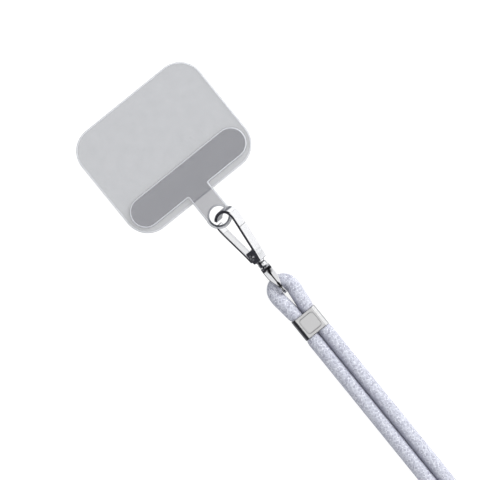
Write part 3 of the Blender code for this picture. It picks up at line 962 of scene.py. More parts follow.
        # Painted shade along the line between the strands, wider on its +X side.
        away = points[..., 0] - STRAP_AXIS_X
        beside = away / np.where(away > 0, self.seam_widths[1], self.seam_widths[0])
        piece = surface(name, points, finish, lengths=places, marks={"painted_seam_shade": np.exp(-(beside**2))})
        settle(piece, Body.STRAP, Slot.CORD, node)

    def build(self, effects: Effects) -> None:
        """Make both stretches of the cord."""
        finish = self.finish.material(effects)
        self.tube("cord_turn", self.bight_half(), 1.0, "cord_bight", finish)
        self.tube("cord_strap", self.loop_half(), self.shown_length, "cord_loop", finish)


@dataclass
class SnapHook:
    """The bent hook with its forked body, its swivel post, the spring gate and the rivet.

    Both routes are shares of the half width and of the length. A rounding is the radius of a plate's
    outline corners and that of its edges. The post's rings are rows of millimetres cut from its radius
    and of millimetres along it, and the rivet's are shares of its head's radius and thickness.
    """

    plane: HookPlane
    length: float = 18.5 * MM
    half_width: float = 4.6 * MM
    strip: float = 1.05 * MM
    depth: float = 3.0 * MM
    strip_corner: float = 0.22 * MM
    ring_step: float = 0.12 * MM
    score_share: float = 0.625
    score_depth: float = 0.04 * MM
    score_width: float = 0.09 * MM
    score_shade: float = 0.12 * MM
    body_length: float = 4.0 * MM
    body_foot_width: float = 3.8 * MM
    body_inset: float = 0.12 * MM
    cheek_rise: float = 0.03 * MM
    cheek_rounding: tuple[float, float] = (0.35 * MM, 0.14 * MM)
    spine_rounding: tuple[float, float] = (0.35 * MM, 0.05 * MM)
    spine_overlap: float = 0.2 * MM
    gate_strip: float = 0.85 * MM
    gate_depth: float = 2.5 * MM
    gate_open: float = math.radians(12)
    gate_end_gap: float = 0.4 * MM
    panel_depth: float = 0.16 * MM
    panel_half: float = 0.36
    panel_span: tuple[float, float] = (0.12, 0.80)
    panel_fade: float = 0.015
    panel_shade: float = 0.2
    panel_walls: tuple[float, ...] = (-1.0, -0.93, -0.90, -0.84, -0.80, 0.80, 0.84, 0.90, 0.93, 1.0)
    panel_sunk: tuple[float, ...] = (0, 0, 0, 1, 1, 1, 1, 0, 0, 0)
    lug_depth: float = 1.0 * MM
    lug_radius: float = 1.25 * MM
    lug_root_half: float = 1.0 * MM
    lug_rounding: tuple[float, float] = (0.08 * MM, 0.08 * MM)
    clearance: float = 0.2 * MM
    rivet_place: tuple[float, float] = (-0.1 * MM, 2.1 * MM)
    rivet_head: tuple[float, float] = (0.95 * MM, 0.25 * MM)
    rivet_radius: float = 0.5 * MM
    rivet_clearance: float = 0.08 * MM
    rivet_sink: float = 0.03 * MM
    rivet_rings: tuple[tuple[float, float], ...] = (
        (1.0, 0.0), (1.0, 0.6), (0.93, 0.9), (0.84, 1.0), (0.76, 1.0), (0.70, 0.45), (0.58, 0.40),
        (0.50, 0.95), (0.30, 1.25), (0.12, 1.32),
    )
    post_radius: float = 1.35 * MM
    post_length: float = 2.0 * MM
    post_rim: float = 0.18 * MM
    post_rings: tuple[tuple[float, float], ...] = (
        (0.0, 0.4), (0.0, -0.35), (0.06, -0.42), (0.22, -0.5), (0.22, -0.72), (0.06, -0.8), (0.0, -0.88),
    )
    pin_radius: float = 0.7 * MM
    pin_head: tuple[float, float] = (1.15 * MM, 0.7 * MM)
    pin_fillet: float = 0.02 * MM
    pin_dome: tuple[float, float] = (0.4, 0.05 * MM)
    least_sunk: float = 0.1 * MM
    eye_strip: float = 0.8 * MM
    hook_route: tuple[tuple[float, float], ...] = (
        (0.31, 0.012), (0.41, 0.12), (0.50, 0.22), (0.66, 0.45), (0.86, 0.74), (0.88, 0.84), (0.70, 0.930),
        (0.34, 0.969), (-0.10, 0.965), (-0.44, 0.932), (-0.62, 0.897),
    )
    gate_route: tuple[tuple[float, float], ...] = (
        (-0.44, 0.045), (-0.52, 0.20), (-0.70, 0.45), (-0.87, 0.70), (-0.88, 0.79), (-0.79, 0.865),
    )

    def route(self, table: tuple[tuple[float, float], ...]) -> np.ndarray:
        """A strip's smooth middle line, from shares of the half width and the length."""
        return smooth_route(np.array(table) * [self.half_width, self.length], 16)

    def cut_gate(self) -> np.ndarray:
        """The gate's middle line, ended where it swings clear of the hook's tip.

        Returns:
            Points in the hook's plane.
        """
        hook, gate = self.route(self.hook_route), self.route(self.gate_route)
        along = unit(hook[-1] - hook[-2])
        beside = np.array([-along[1], along[0]]) * self.strip / 2
        corners = np.array([hook[-1] + beside, hook[-1] - beside])
        reach = np.linalg.norm(corners - self.rivet_place, axis=1).min() - self.gate_end_gap
        away = np.linalg.norm(gate - self.rivet_place, axis=1)
        lengths = lengths_along(gate)
        places = np.append(lengths[away < reach], np.interp(reach, away, lengths))
        return np.column_stack([np.interp(places, lengths, column) for column in gate.T])

    def strip_surface(
        self, name: str, route: np.ndarray, size: tuple[float, float], finish: bpy.types.Material,
        score: float | None = None, pressed: bool = False,
    ) -> bpy.types.Object:
        """Carry a rounded rectangle along a flat route.

        Both ends are rounded: at s past the last full section the section shrinks by
        c - sqrt(c^2 - s^2), with c the corner radius. A scored line at p shrinks it by
        depth * exp(-((s - p) / width)^2).

        Args:
            name: The piece's name.
            route: The strip's middle line, in the hook's plane.
            size: The strip's thickness in that plane, and its depth across it.
            finish: Its material.
            score: How far along the strip a fine scored line crosses it.
            pressed: Whether a long panel is pressed into its inner face.

        Returns:
            The strip.
        """
        corner = self.strip_corner
        total = lengths_along(route)[-1]
        ease = corner * (1 - np.cos(np.linspace(0, math.pi / 2, 5)[:-1]))
        inner = np.linspace(corner, total - corner, int(total / self.ring_step))
        places = np.concatenate([ease, inner, total - ease[::-1]])
        past = np.clip(corner - np.minimum(places, total - places), 0, corner)
        inset = np.minimum(corner - np.sqrt(corner**2 - past**2), 0.92 * corner)
        scored = np.zeros_like(places)
        if score is not None:
            inset = inset + self.score_depth * np.exp(-(((places - score) / self.score_width) ** 2))
            # Painted shade along the scored line.
            scored = np.exp(-(((places - score) / self.score_shade) ** 2))
        line = points_at(np.column_stack([route, np.zeros(len(route))]), places)[:, :2]
        along = unit(np.gradient(line, places, axis=0))
        side = np.column_stack([along[:, 1], -along[:, 0]])
        rows = corner_profile()
        half = np.array(size) / 2 - inset[:, None]
        radius = np.maximum(corner - inset, 0.25 * corner)[:, None]
        a = rows[:, 0] * (half[:, :1] - radius) + rows[:, 2] * radius
        b = rows[:, 1] * (half[:, 1:] - radius) + rows[:, 3] * radius
        # The narrow edge faces, where the polished finish paints a dark reflection.
        painted_dark_edge = np.abs(rows[:, 3]) > 0.99
        rounded = np.abs(rows[:, 2:]).max(1) < 0.95
        cut, edge = (np.broadcast_to(mark, a.shape).astype(float) for mark in (painted_dark_edge, rounded))
        shade = np.zeros_like(a)
        if pressed:
            a, b, cut, edge, shade = self.press_panel(a, b, cut, edge, places / total)
        flat = line[:, None] + a[..., None] * side[:, None]
        points = self.plane.place(np.concatenate([flat, b[..., None]], -1))
        # The painted shade mark: the scored line and the pressed panel, 0.7 at most.
        marks = {"cut": cut, "edge": edge, "painted_shade": np.clip(scored[:, None] + shade, 0, 1) * 0.7}
        return surface(name, points, finish, marks=marks)

    def press_panel(
        self, a: np.ndarray, b: np.ndarray, cut: np.ndarray, edge: np.ndarray, share: np.ndarray
    ) -> tuple[np.ndarray, ...]:
        """Press a long panel into the strip's inner face.

        Args:
            a: Places across the strip's thickness.
            b: Places across its depth.
            cut: The marks of the narrow edge faces, which get a painted dark reflection.
            edge: The rounded corners' marks.
            share: Each row's share of the strip's length.

        Returns:
            The same arrays with more columns on the inner face, and the painted shade in the panel.
        """
        first = int(np.argmax((a[len(a) // 2] > 0) & (b[len(a) // 2] > 0)))
        begin, end = self.panel_span
        run = np.clip(np.minimum(share - begin, end - share) / self.panel_fade, 0, 1)
        sunk = run[:, None] * self.panel_sunk
        walls = np.broadcast_to(np.array(self.panel_walls) * self.panel_half * self.gate_depth, sunk.shape)
        # The panel's sunk floor gets painted shade.
        new = (a[:, first:first + 1] - self.panel_depth * sunk, walls,
               np.zeros_like(sunk), np.zeros_like(sunk), self.panel_shade * sunk)
        old = (a, b, cut, edge, np.zeros_like(a))
        return tuple(np.hstack([o[:, :first], n, o[:, first:]]) for o, n in zip(old, new))

    def plate_surface(
        self, name: str, corners: list[tuple[float, float]], low: float, high: float,
        rounding: tuple[float, float], finish: bpy.types.Material,
    ) -> bpy.types.Object:
        """Carry a rounded edge round a plate's outline, with one face on either side.

        Args:
            name: The piece's name.
            corners: The outline in the hook's plane, anticlockwise.
            low: Where the plate begins in depth.
            high: Where it ends.
            rounding: The radius of the outline's corners and that of the edges.
            finish: Its material.

        Returns:
            The plate.
        """
        outline_corner, bevel = rounding
        outline = rounded_polygon(corners, outline_corner)
        turn = np.linspace(0, math.pi / 2, 5)
        quick, slow = 1 - np.sin(turn), 1 - np.cos(turn)
        inset = np.concatenate([[2], quick, slow, [2]])
        heights = np.concatenate([[low], low + bevel * slow, high - bevel * quick, [high]])
        flat = outline[None] - bevel * inset[:, None, None] * outline_normals(outline)[None]
        z = np.broadcast_to(heights[:, None, None], (*flat.shape[:2], 1))
        # The plate's side walls, where the polished finish paints a dark reflection.
        cut = (inset > 0.8).astype(float)[:, None]
        edge = ((inset > 0.1) & (inset < 0.9)).astype(float)[:, None]
        points = self.plane.place(np.concatenate([flat, z], -1))
        return surface(name, points, finish, marks={"cut": cut, "edge": edge, "painted_shade": np.zeros((1, 1))})

    def turned_surface(
        self, name: str, profile: list[tuple[float, float]], finish: bpy.types.Material,
        about_rivet: bool = False, sides: int = 64,
    ) -> bpy.types.Object:
        """Turn a profile about the plane's long axis, or about the rivet's axis.

        Args:
            name: The piece's name.
            profile: Pairs of (radius, place along the axis).
            finish: Its material.
            about_rivet: True for the rivet's axis.
            sides: Columns round the axis.

        Returns:
            The turned piece.
        """
        radius, place = np.array(profile).T
        turns = np.arange(sides) * 2 * math.pi / sides
        x, y = radius[:, None] * np.cos(turns), radius[:, None] * np.sin(turns)
        z = np.broadcast_to(place[:, None], x.shape)
        points = np.stack([x, z, y], -1)
        if about_rivet:
            points = np.stack([x + self.rivet_place[0], y + self.rivet_place[1], z], -1)
        slope = np.abs(np.gradient(radius)) > np.abs(np.gradient(place))
        widest = np.minimum(np.maximum.accumulate(radius), np.maximum.accumulate(radius[::-1])[::-1])
        sunk = radius < widest - self.least_sunk
        # Painted shade: rings sunk below their neighbours get a near-black colour.
        marks = {"cut": np.zeros((1, 1)), "edge": 0.5 * slope[:, None], "painted_shade": 0.9 * sunk[:, None]}
        return surface(name, self.plane.place(points), finish, marks=marks)

    def build_arm(self, finish: bpy.types.Material) -> None:
        """Make the bent strip with its scored line.

        Args:
            finish: Its material.
        """
        route = self.route(self.hook_route)
        rising = route[:int(np.argmax(route[:, 1]))]
        score = float(np.interp(self.score_share * self.length, rising[:, 1], lengths_along(rising)))
        arm = self.strip_surface("hook_arm", route, (self.strip, self.depth), finish, score=score)
        settle(arm, Body.HOOK, Slot.POLISHED, "hook_frame")

    def build_body(self, finish: bpy.types.Material) -> None:
        """Make the fork's two cheeks and the spine between them, cut back where the gate swings.

        Args:
            finish: Their material.
        """
        right = self.hook_route[2][0] * self.half_width + self.strip / 2 - self.body_inset
        foot_right = self.body_foot_width / 2 - self.body_inset
        left = self.gate_route[1][0] * self.half_width + self.gate_strip / 2 + self.clearance
        foot_left = self.gate_route[0][0] * self.half_width + self.gate_strip / 2 + self.clearance
        rivet_x, rivet_y = self.rivet_place
        by_rivet = foot_left + (left - foot_left) * rivet_y / self.body_length
        relief = (self.body_length - rivet_y) * math.tan(self.gate_open)
        cheek = [(foot_left, 0), (foot_right, 0), (right, self.body_length),
                 (left + relief, self.body_length), (by_rivet, rivet_y)]
        wall = rivet_x + self.lug_radius + self.clearance
        foot = rivet_y - self.lug_radius - self.clearance
        back = [(foot_left, 0), (foot_right, 0), (right, self.body_length),
                (wall, self.body_length), (wall, foot), (foot_left, foot)]
        half, slot = self.depth / 2 + self.cheek_rise, self.lug_depth / 2 + self.clearance
        reach = slot + self.spine_overlap
        for name, outline, low, high, rounding in (
            ("hook_cheek_near", cheek, slot, half, self.cheek_rounding),
            ("hook_cheek_far", cheek, -half, -slot, self.cheek_rounding),
            ("hook_spine", back, -reach, reach, self.spine_rounding),
        ):
            settle(self.plate_surface(name, outline, low, high, rounding, finish), Body.HOOK, Slot.POLISHED)

    def post_profile(self) -> list[tuple[float, float]]:
        """The ringed collar under the body, the pin through the eye and its head, from the top down.

        Returns:
            Pairs of (radius, place along the axis).
        """
        post, pin, rim = self.post_radius, self.pin_radius, self.post_rim
        head, thick = self.pin_head
        foot = -self.post_length
        head_top = foot - 2 * self.clearance - self.eye_strip
        head_foot = head_top - thick
        dome, dome_drop = self.pin_dome
        rings = [(post - cut * MM, place * MM) for cut, place in self.post_rings]
        return [
            *rings, (post, foot + rim), (post - 0.3 * rim, foot + 0.3 * rim), (post - rim, foot),
            (pin + self.pin_fillet, foot), (pin, foot - self.pin_fillet),
            (pin, head_top), (head - rim, head_top), (head, head_top - rim), (head, head_foot + rim),
            (head - rim, head_foot), (dome * head, head_foot - dome_drop),
        ]

    def rivet_profile(self) -> list[tuple[float, float]]:
        """A headed rivet with a ring groove and a low dome on both heads.

        Returns:
            Pairs of (radius, place along the axis).
        """
        radius, thick = self.rivet_head
        seat = self.depth / 2 + self.rivet_clearance
        near = [(self.rivet_radius, seat - self.rivet_sink)]
        near += [(wide * radius, seat + high * thick) for wide, high in self.rivet_rings]
        return [(r, -z) for r, z in reversed(near)] + near

    def build_gate(self, finish: bpy.types.Material) -> None:
        """Make the gate's strip and the lug that the rivet holds.

        Args:
            finish: Their material.
        """
        size = (self.gate_strip, self.gate_depth)
        gate = self.strip_surface("gate_strip", self.cut_gate(), size, finish, pressed=True)
        settle(gate, Body.GATE, Slot.POLISHED, "gate")
        rivet_y = self.rivet_place[1]
        angles = np.linspace(-math.pi / 2, math.pi / 2, 12)
        bulge = np.column_stack([np.cos(angles), np.sin(angles)]) * self.lug_radius + self.rivet_place
        root = self.gate_route[0][0] * self.half_width
        outline = [(root, rivet_y - self.lug_root_half), *bulge, (root, rivet_y + self.lug_root_half)]
        half = self.lug_depth / 2
        lug = self.plate_surface("gate_lug", outline, -half, half, self.lug_rounding, finish)
        settle(lug, Body.GATE, Slot.POLISHED)

    def build(self, finish: bpy.types.Material) -> None:
        """Make every piece of the hook.

        Args:
            finish: Their material.
        """
        self.build_arm(finish)
        self.build_body(finish)
        settle(self.turned_surface("swivel_post", self.post_profile(), finish), Body.HOOK, Slot.POLISHED)
        self.build_gate(finish)
        rivet = self.turned_surface("gate_rivet_heads", self.rivet_profile(), finish,
                                    about_rivet=True, sides=48)
        settle(rivet, Body.HOOK, Slot.POLISHED, "gate_rivet")


@dataclass
class SwivelEye:
    """A strip bent to a standing link, wide at its head and narrow where the cord turns.

    Places along it are shares of its length from the cord's end. The band of painted shade is (place,
    spread), and the spot of painted shade is (place, spread, offset across, spread across).
    """

    plane: HookPlane
    strip: float = 0.8 * MM
    width: float = 3.1 * MM
    end_width: float = 0.9 * MM
    length: float = 9.6 * MM
    corner: float = 1.7 * MM
    height: float = 6.2 * MM
    head: float = -2.2 * MM
    taper: tuple[float, float] = (0.15, 0.70)
    edge_corner: float = 0.2 * MM
    groove_places: tuple[float, ...] = (0.10, 0.22, 0.30, 0.36, 0.44, 0.66, 0.80, 0.95)
    groove_widths: tuple[float, ...] = (0.26 * MM, 0.52 * MM, 0.58 * MM, 0.40 * MM, 0.15 * MM,
                                        0.17 * MM, 0.34 * MM, 0.60 * MM)
    groove_depth: float = 0.24 * MM
    groove_span: tuple[float, float] = (0.10, 0.97)
    groove_fades: tuple[float, float] = (0.03, 0.02)
    rows: int = 240
    painted_shade_band: tuple[float, float] = (0.27, 0.06)
    painted_shade_patch: tuple[float, float, float, float] = (0.85, 0.09, 0.35 * MM, 0.75 * MM)

    def build(self, finish: bpy.types.Material) -> None:
        """Carry the strip's section round a rounded rectangle.

        The section is a rounded rectangle whose width follows the taper. Along both legs a V groove
        runs down the middle of the outer face, g wide and d deep: its floor at b from the middle is
        d * (1 - |b| / g) below the face.

        Args:
            finish: The eye's material.
        """
        middle = rounded_rectangle(self.length - self.strip, self.height - self.strip,
                                   self.corner - self.strip / 2, steps=14)
        ring = np.pad(np.vstack([middle, middle[:1]]), ((0, 0), (0, 1)))
        path = points_at(ring, np.linspace(0, lengths_along(ring)[-1], self.rows, endpoint=False))[:, :2]
        out = outline_normals(path)
        from_end = path[:, 0] / self.length + 0.5
        share = np.clip((from_end - self.taper[0]) / (self.taper[1] - self.taper[0]), 0, 1)
        eased = share - 0.6 * np.sin(2 * math.pi * share) / (2 * math.pi)
        width = self.end_width + (self.width - self.end_width) * eased
        leg = np.clip((np.abs(out[:, 1]) - 0.9) / 0.1, 0, 1)
        for (place, fade), sign in zip(zip(self.groove_span, self.groove_fades), (1, -1)):
            leg *= np.clip(sign * (from_end - place) / fade, 0, 1)
        groove = np.interp(from_end, self.groove_places, self.groove_widths)
        groove = np.minimum(groove, (width / 2 - 1.6 * self.edge_corner) / 1.3)[:, None]
        rows = corner_profile()
        stations = np.array([-1.3, -1, -0.5, 0, 0.5, 1, 1.3])
        half, depth = self.strip / 2, width[:, None] / 2
        corner = self.edge_corner
        a = rows[:, 0] * (half - corner) + rows[:, 2] * corner + np.zeros_like(depth)
        b = rows[:, 1] * (depth - corner) + rows[:, 3] * corner
        floor = half - self.groove_depth * leg[:, None] * np.clip(1 - np.abs(stations), 0, 1)
        a = np.hstack([floor, a])
        b = np.hstack([groove * stations, b])
        painted_shade = np.zeros_like(a)
        # Painted shade in the groove down both legs.
        painted_shade[:, 1:6] = leg[:, None] * [0.6, 1, 1, 1, 0.6]
        # Painted shade: a dark band across the strip near its narrow end, and a dark spot near its head.
        band = ((from_end - self.painted_shade_band[0]) / self.painted_shade_band[1])[:, None] ** 2
        place, spread, offset, across = self.painted_shade_patch
        painted_shade_patch = ((from_end - place) / spread)[:, None] ** 2 + ((b - offset) / across) ** 2
        painted_shade = np.maximum(painted_shade, np.maximum(np.exp(-band), np.exp(-(painted_shade_patch**2))))
        cut = np.zeros_like(a)
        cut[:, len(stations):] = np.abs(rows[:, 3]) > 0.99
        flat = path[:, None] + a[..., None] * out[:, None]
        along = flat[..., :1] + self.head - self.length / 2
        points = self.plane.upright().place(np.concatenate([b[..., None], along, flat[..., 1:]], -1))
        # The narrow edges get half of the polished finish's painted dark reflection.
        marks = {"cut": 0.5 * cut, "edge": np.zeros((1, 1)), "painted_shade": painted_shade}
        settle(surface("eye_link", points, finish, close_rows=True, marks=marks),
               Body.STRAP, Slot.POLISHED, "swivel_eye")


@dataclass
class Clamp:
    """A rounded sleeve round both strands, with a bare engraved panel on its upper face."""

    top: float
    length: float = 7.0 * MM
    half_width: float = 4.2 * MM
    half_height: float = 2.4 * MM
    wall: float = 0.55 * MM
    corner: float = 1.5 * MM
    panel: tuple[float, float] = (4.9 * MM, 4.9 * MM)
    panel_corner: float = 0.9 * MM
    groove_width: float = 0.085 * MM
    groove_depth: float = 0.05 * MM
    groove_shade: float = 0.45
    top_columns: int = 110
    rows: int = 96

    def outline(self) -> np.ndarray:
        """The sleeve's outline, with many points on its upper face, anticlockwise from its right side.

        Returns:
            The outline as (n, 2) points, across and up.
        """
        w, h, r = self.half_width - self.corner, self.half_height - self.corner, self.corner
        turns = np.linspace(0, math.pi / 2, 13) + np.arange(4)[:, None] * math.pi / 2
        middles = np.array([(w, h), (-w, h), (-w, -h), (w, -h)])
        arcs = middles[:, None] + r * np.stack([np.cos(turns), np.sin(turns)], -1)
        upper = np.column_stack([np.linspace(w, -w, self.top_columns + 2)[1:-1],
                                 np.full(self.top_columns, self.half_height)])
        lower = np.column_stack([np.linspace(-w, w, 10)[1:-1], np.full(8, -self.half_height)])
        return np.vstack([arcs[0], upper, arcs[1], arcs[2], lower, arcs[3]])

    def engraving(self, across: np.ndarray, along: np.ndarray) -> np.ndarray:
        """How deep the engraved line is at a point of the upper face.

        With s the signed distance to a rounded rectangle, it is depth * exp(-(s / width)^2).

        Args:
            across: Places across the sleeve from its middle.
            along: Places along it from its middle.

        Returns:
            Shares of the groove's depth, from 0 to 1.
        """
        beyond = np.stack(np.broadcast_arrays(np.abs(across) - self.panel[0] / 2 + self.panel_corner,
                                              np.abs(along) - self.panel[1] / 2 + self.panel_corner))
        outside = np.linalg.norm(np.maximum(beyond, 0), axis=0)
        away = outside + np.minimum(beyond.max(0), 0) - self.panel_corner
        return np.exp(-((away / self.groove_width) ** 2))

    def build(self, finish: bpy.types.Material) -> None:
        """Carry the sleeve's wall round its outline: the outer face, a round lip, the inner face, a lip.

        Args:
            finish: The sleeve's material.
        """
        outline = self.outline()
        out = outline_normals(outline)
        lip = self.wall / 2
        turn = np.linspace(0, math.pi, 9)[1:-1]
        reach = self.length / 2 - lip
        outer = np.linspace(reach, -reach, self.rows)
        past, tucked = lip * np.sin(turn), lip * (1 - np.cos(turn))
        along = np.concatenate([outer, -reach - past, [-reach, 0, reach], reach + past])
        inset = np.concatenate([np.zeros(self.rows), tucked, [2 * lip] * 3, 2 * lip - tucked])
        upper = (outline[:, 1] > self.half_height - 0.01 * MM)[None] & (inset[:, None] == 0)
        mark = np.where(upper, self.engraving(outline[None, :, 0], along[:, None]), 0.0)
        depth = inset[:, None] + self.groove_depth * mark
        flat = outline[None] - depth[..., None] * out[None]
        middle = self.top - self.length / 2
        points = np.stack([flat[..., 0] + STRAP_AXIS_X,
                           np.broadcast_to(along[:, None], flat.shape[:2]) + middle,
                           flat[..., 1] + self.half_height], -1)
        sideways = np.abs(out[:, 0])[None]
        edge = np.clip(inset / lip, 0, 1)[:, None] + 0.8 * np.clip((sideways - 0.2) / 0.5, 0, 1)
        side = np.clip((sideways - 0.12) / 0.2, 0, 1)
        # The engraved line's mark carries painted shade.
        marks = {"painted_shade": self.groove_shade * mark, "edge": np.clip(edge, 0, 1), "cut": side}
        settle(surface("clamp_sleeve", points, finish, close_rows=True, marks=marks),
               Body.STRAP, Slot.SATIN, "cord_clamp")


@dataclass
class Tether:
    """The clear film: a pad on the table, and on it a tab with a neck and a round end for the hook."""

    pad: tuple[float, float, float] = (44 * MM, 36 * MM, 0.5 * MM)
    pad_corner: float = 7.5 * MM
    bar: tuple[float, float] = (41 * MM, 9.4 * MM)
    bar_from_edge: float = 2.1 * MM
    thickness: float = 0.6 * MM
    neck_width: float = 7.4 * MM
    end_radius: float = 3.85 * MM
    hole_radius: float = 2.8 * MM
    hole_past_pad: float = 7.4 * MM
    hole_height: float = 4.15 * MM
    neck_bend: float = 3.0 * MM
    rim_width: float = 0.50 * MM
    rim_rise: float = 0.14 * MM
    rim_painted_shade_side: float = math.radians(215)
    rim_lap: float = 0.02 * MM
    joint: float = 0.25 * MM
    bright_band: tuple[float, float] = (0.16 * MM, 0.07 * MM)
    crease: float = math.radians(40)
    # The band colours paint a highlight by the pad's and tab's edges and shade on the hole's rim; the rim
    # colours paint the edges themselves dark.
    pad_film: ClearFilm = ClearFilm("clear_film_pad", (0.30, 0.31, 0.335, 1), (0.74, 0.75, 0.78, 1),
                                   (0.16, 0.165, 0.18, 1), 0.40, 0.8)
    tab_film: ClearFilm = ClearFilm("clear_film_tab", (0.27, 0.27, 0.295, 1), (0.66, 0.67, 0.70, 1),
                                   (0.30, 0.30, 0.33, 1), 0.45, 0.8)
    rim_film: ClearFilm = ClearFilm("clear_film_rim", (0.60, 0.61, 0.64, 1), (0.30, 0.305, 0.33, 1),
                                   (0.06, 0.065, 0.08, 1), 0.60, 0.92)

    @property
    def hole_y(self) -> float:
        """Where the hole's middle is along the strap."""
        return -(self.pad[1] / 2 + self.hole_past_pad)

    def height(self, y: np.ndarray) -> np.ndarray:
        """How high the tab's underside is at each y.

        It is level on the pad, then a parabola over the bend, then an even rise to the hole.

        Args:
            y: Places along the strap.

        Returns:
            Heights above the table.
        """
        flat = self.pad[2] + GAP
        start = -self.pad[1] / 2 + self.bar_from_edge
        slope = (self.hole_height - self.thickness / 2 - flat) / (start - self.hole_y - self.neck_bend / 2)
        run = np.clip(start - np.asarray(y), 0, None)
        curved = slope * run**2 / (2 * self.neck_bend)
        return flat + np.where(run < self.neck_bend, curved, slope * (run - self.neck_bend / 2))

    def tab_outline(self) -> np.ndarray:
        """Round end, neck and pill-shaped bar, anticlockwise, with rounded inner corners.

        Returns:
            The outline as (n, 2) points.
        """
        low = -self.pad[1] / 2 + self.bar_from_edge
        reach = math.asin(self.neck_width / 2 / self.end_radius)
        turn = -math.pi / 2 + (math.pi - reach) * np.linspace(-1, 1, 49)
        end = np.column_stack([np.cos(turn), np.sin(turn)]) * self.end_radius + [0, self.hole_y]
        fillet = np.linspace(math.pi, math.pi / 2, 7)
        right = np.column_stack([self.neck_width / 2 + self.joint * (1 + np.cos(fillet)),
                                 low - self.joint * (1 - np.sin(fillet))])
        cap = np.linspace(-math.pi / 2, math.pi / 2, 25)
        pill = np.column_stack([self.bar[0] / 2 - self.bar[1] / 2 * (1 - np.cos(cap)),
                                low + self.bar[1] / 2 * (1 + np.sin(cap))])
        half = np.vstack([right, pill])
        return np.vstack([end, half, (half * [-1, 1])[::-1]])

    def film(
        self, name: str, loops: list[np.ndarray], thickness: float, finish: bpy.types.Material,
        rise: Callable[[np.ndarray], np.ndarray], cuts: np.ndarray,
    ) -> bpy.types.Object:
        """Carry a half-round edge round each loop and fill the two faces between the loops.

        Args:
            name: The piece's name.
            loops: The outline anticlockwise, then the holes clockwise.
            thickness: The film's thickness.
            finish: Its material, which reads the painted highlight band by each edge as 0.5 and the painted
                dark edge itself as 1.
            rise: A function that gives the underside's height at each y.
            cuts: The y places where the faces are split, so that they can bend.

        Returns:
            The film.
        """
        half = thickness / 2
        turn = np.linspace(math.pi / 2, -math.pi / 2, 9)
        rim = np.column_stack([half * (1 - np.cos(turn)), half * (1 + np.sin(turn)), (1 + np.cos(turn)) / 2])
        # Rings that carry the painted highlight band by each edge.
        outer, inner = (half + away for away in self.bright_band)
        upper, lower = ([(outer, z, 0.0), (inner, z, 0.5)] for z in (thickness, 0.0))
        sections = [*upper, *rim, *reversed(lower)]
        work = bmesh.new()
        mark = work.verts.layers.float.new("edge")
        faces: list[list] = [[], []]
        for loop in loops:
            out = outline_normals(loop)
            rings = []
            for inset, height, value in sections:
                rings.append([work.verts.new((x, y, height)) for x, y in loop - inset * out])
                for vert in rings[-1]:
                    vert[mark] = value
            for upper, lower in zip(rings, rings[1:]):
                for k in range(len(loop)):
                    m = (k + 1) % len(loop)
                    work.faces.new((upper[k], lower[k], lower[m], upper[m]))
            for edges, ring in zip(faces, (rings[0], rings[-1])):
                edges += [work.edges.get((ring[k], ring[(k + 1) % len(loop)])) for k in range(len(loop))]
        for edges in faces:
            bmesh.ops.triangle_fill(work, use_beauty=True, use_dissolve=False, edges=edges)
        for cut in cuts:
            geometry = work.verts[:] + work.edges[:] + work.faces[:]
            bmesh.ops.bisect_plane(work, geom=geometry, plane_co=(0, cut, 0), plane_no=(0, 1, 0))
        bmesh.ops.recalc_face_normals(work, faces=work.faces[:])
        mesh = bpy.data.meshes.new(name)
        work.to_mesh(mesh)
        work.free()
        points = np.empty(len(mesh.vertices) * 3, np.float32)
        mesh.vertices.foreach_get("co", points)
        points = points.reshape(-1, 3)
        points[:, 2] += rise(points[:, 1])
        mesh.vertices.foreach_set("co", points.ravel())
        mesh.materials.append(finish)
        mesh.shade_smooth()
        mesh.set_sharp_from_angle(angle=self.crease)
        made = bpy.data.objects.new(name, mesh)
        bpy.context.scene.collection.objects.link(made)
        return made

    def rim(self, finish: bpy.types.Material) -> bpy.types.Object:
        """Carry a rounded section round the hole, a little proud of the film on both sides, with painted
        shade darkest on one side.

        Args:
            finish: Its material.

        Returns:
            The rim.
        """
        turns = np.arange(120) * 2 * math.pi / 120
        rows = corner_profile(steps=5)
        corner = 0.3 * self.rim_width
        across = rows[:, 0] * (self.rim_width / 2 - corner) + rows[:, 2] * corner
        tall = self.thickness / 2 + self.rim_rise
        above = rows[:, 1] * (tall - corner) + rows[:, 3] * corner
        radius = self.hole_radius + self.rim_width / 2 - self.rim_lap + across[None]
        x, y = radius * np.cos(turns)[:, None], radius * np.sin(turns)[:, None] + self.hole_y
        z = self.height(y) + self.thickness / 2 + above[None]
        # Painted shade: the edge mark, and with it the rim's darkness, peaks on one side of the hole and
        # fades round to the other.
        edge = np.broadcast_to(0.58 + 0.40 * np.cos(turns - self.rim_painted_shade_side)[:, None], x.shape)
        return surface("tab_hole_rim", np.stack([x, y, z], -1), finish, close_rows=True, marks={"edge": edge})

    def build(self, effects: Effects) -> None:
        """Make the pad, the tab and the hole's rim.

        Args:
            effects: The shared node groups.
        """
        pad_loop = rounded_rectangle(self.pad[0], self.pad[1], self.pad_corner, steps=20)
        pad = self.film("pad_film", [pad_loop], self.pad[2], self.pad_film.material(effects),
                        np.zeros_like, np.empty(0))
        settle(pad, Body.HOOK, Slot.FILM, "adhesive_pad")
        turns = -np.arange(72) * 2 * math.pi / 72
        hole = np.column_stack([np.cos(turns), np.sin(turns)]) * self.hole_radius + [0, self.hole_y]
        start = -self.pad[1] / 2 + self.bar_from_edge
        cuts = np.linspace(start, start - self.neck_bend, 12)
        tab = self.film("tab_film", [self.tab_outline(), hole], self.thickness,
                        self.tab_film.material(effects), self.height, cuts)
        settle(tab, Body.HOOK, Slot.FILM, "tether_tab")
        settle(self.rim(self.rim_film.material(effects)), Body.HOOK, Slot.FILM)


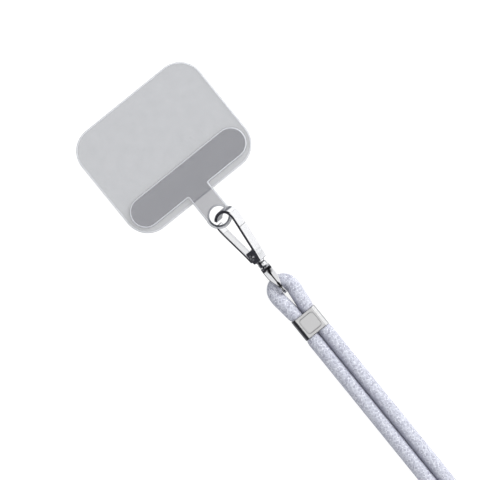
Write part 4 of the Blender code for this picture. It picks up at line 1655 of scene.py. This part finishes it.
def main() -> None:
    """Build the strap, piece by piece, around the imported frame."""
    logging.basicConfig(level=logging.INFO, format="%(name)s: %(message)s")
    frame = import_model()
    Studio().build()
    plane = HookPlane.from_joints(frame["joints"])
    effects = Effects()
    eye = SwivelEye(plane)
    clamp = Clamp(top=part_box("cord_clamp")[1].y)
    polished = PolishedMetal().material(effects)
    Cord(plane, clamp_top=clamp.top, eye_end=plane.foot[1] + eye.head - eye.length).build(effects)
    clamp.build(SatinMetal().material(effects))
    eye.build(polished)
    SnapHook(plane).build(polished)
    Tether().build(effects)


if __name__ == "__main__":
    main()
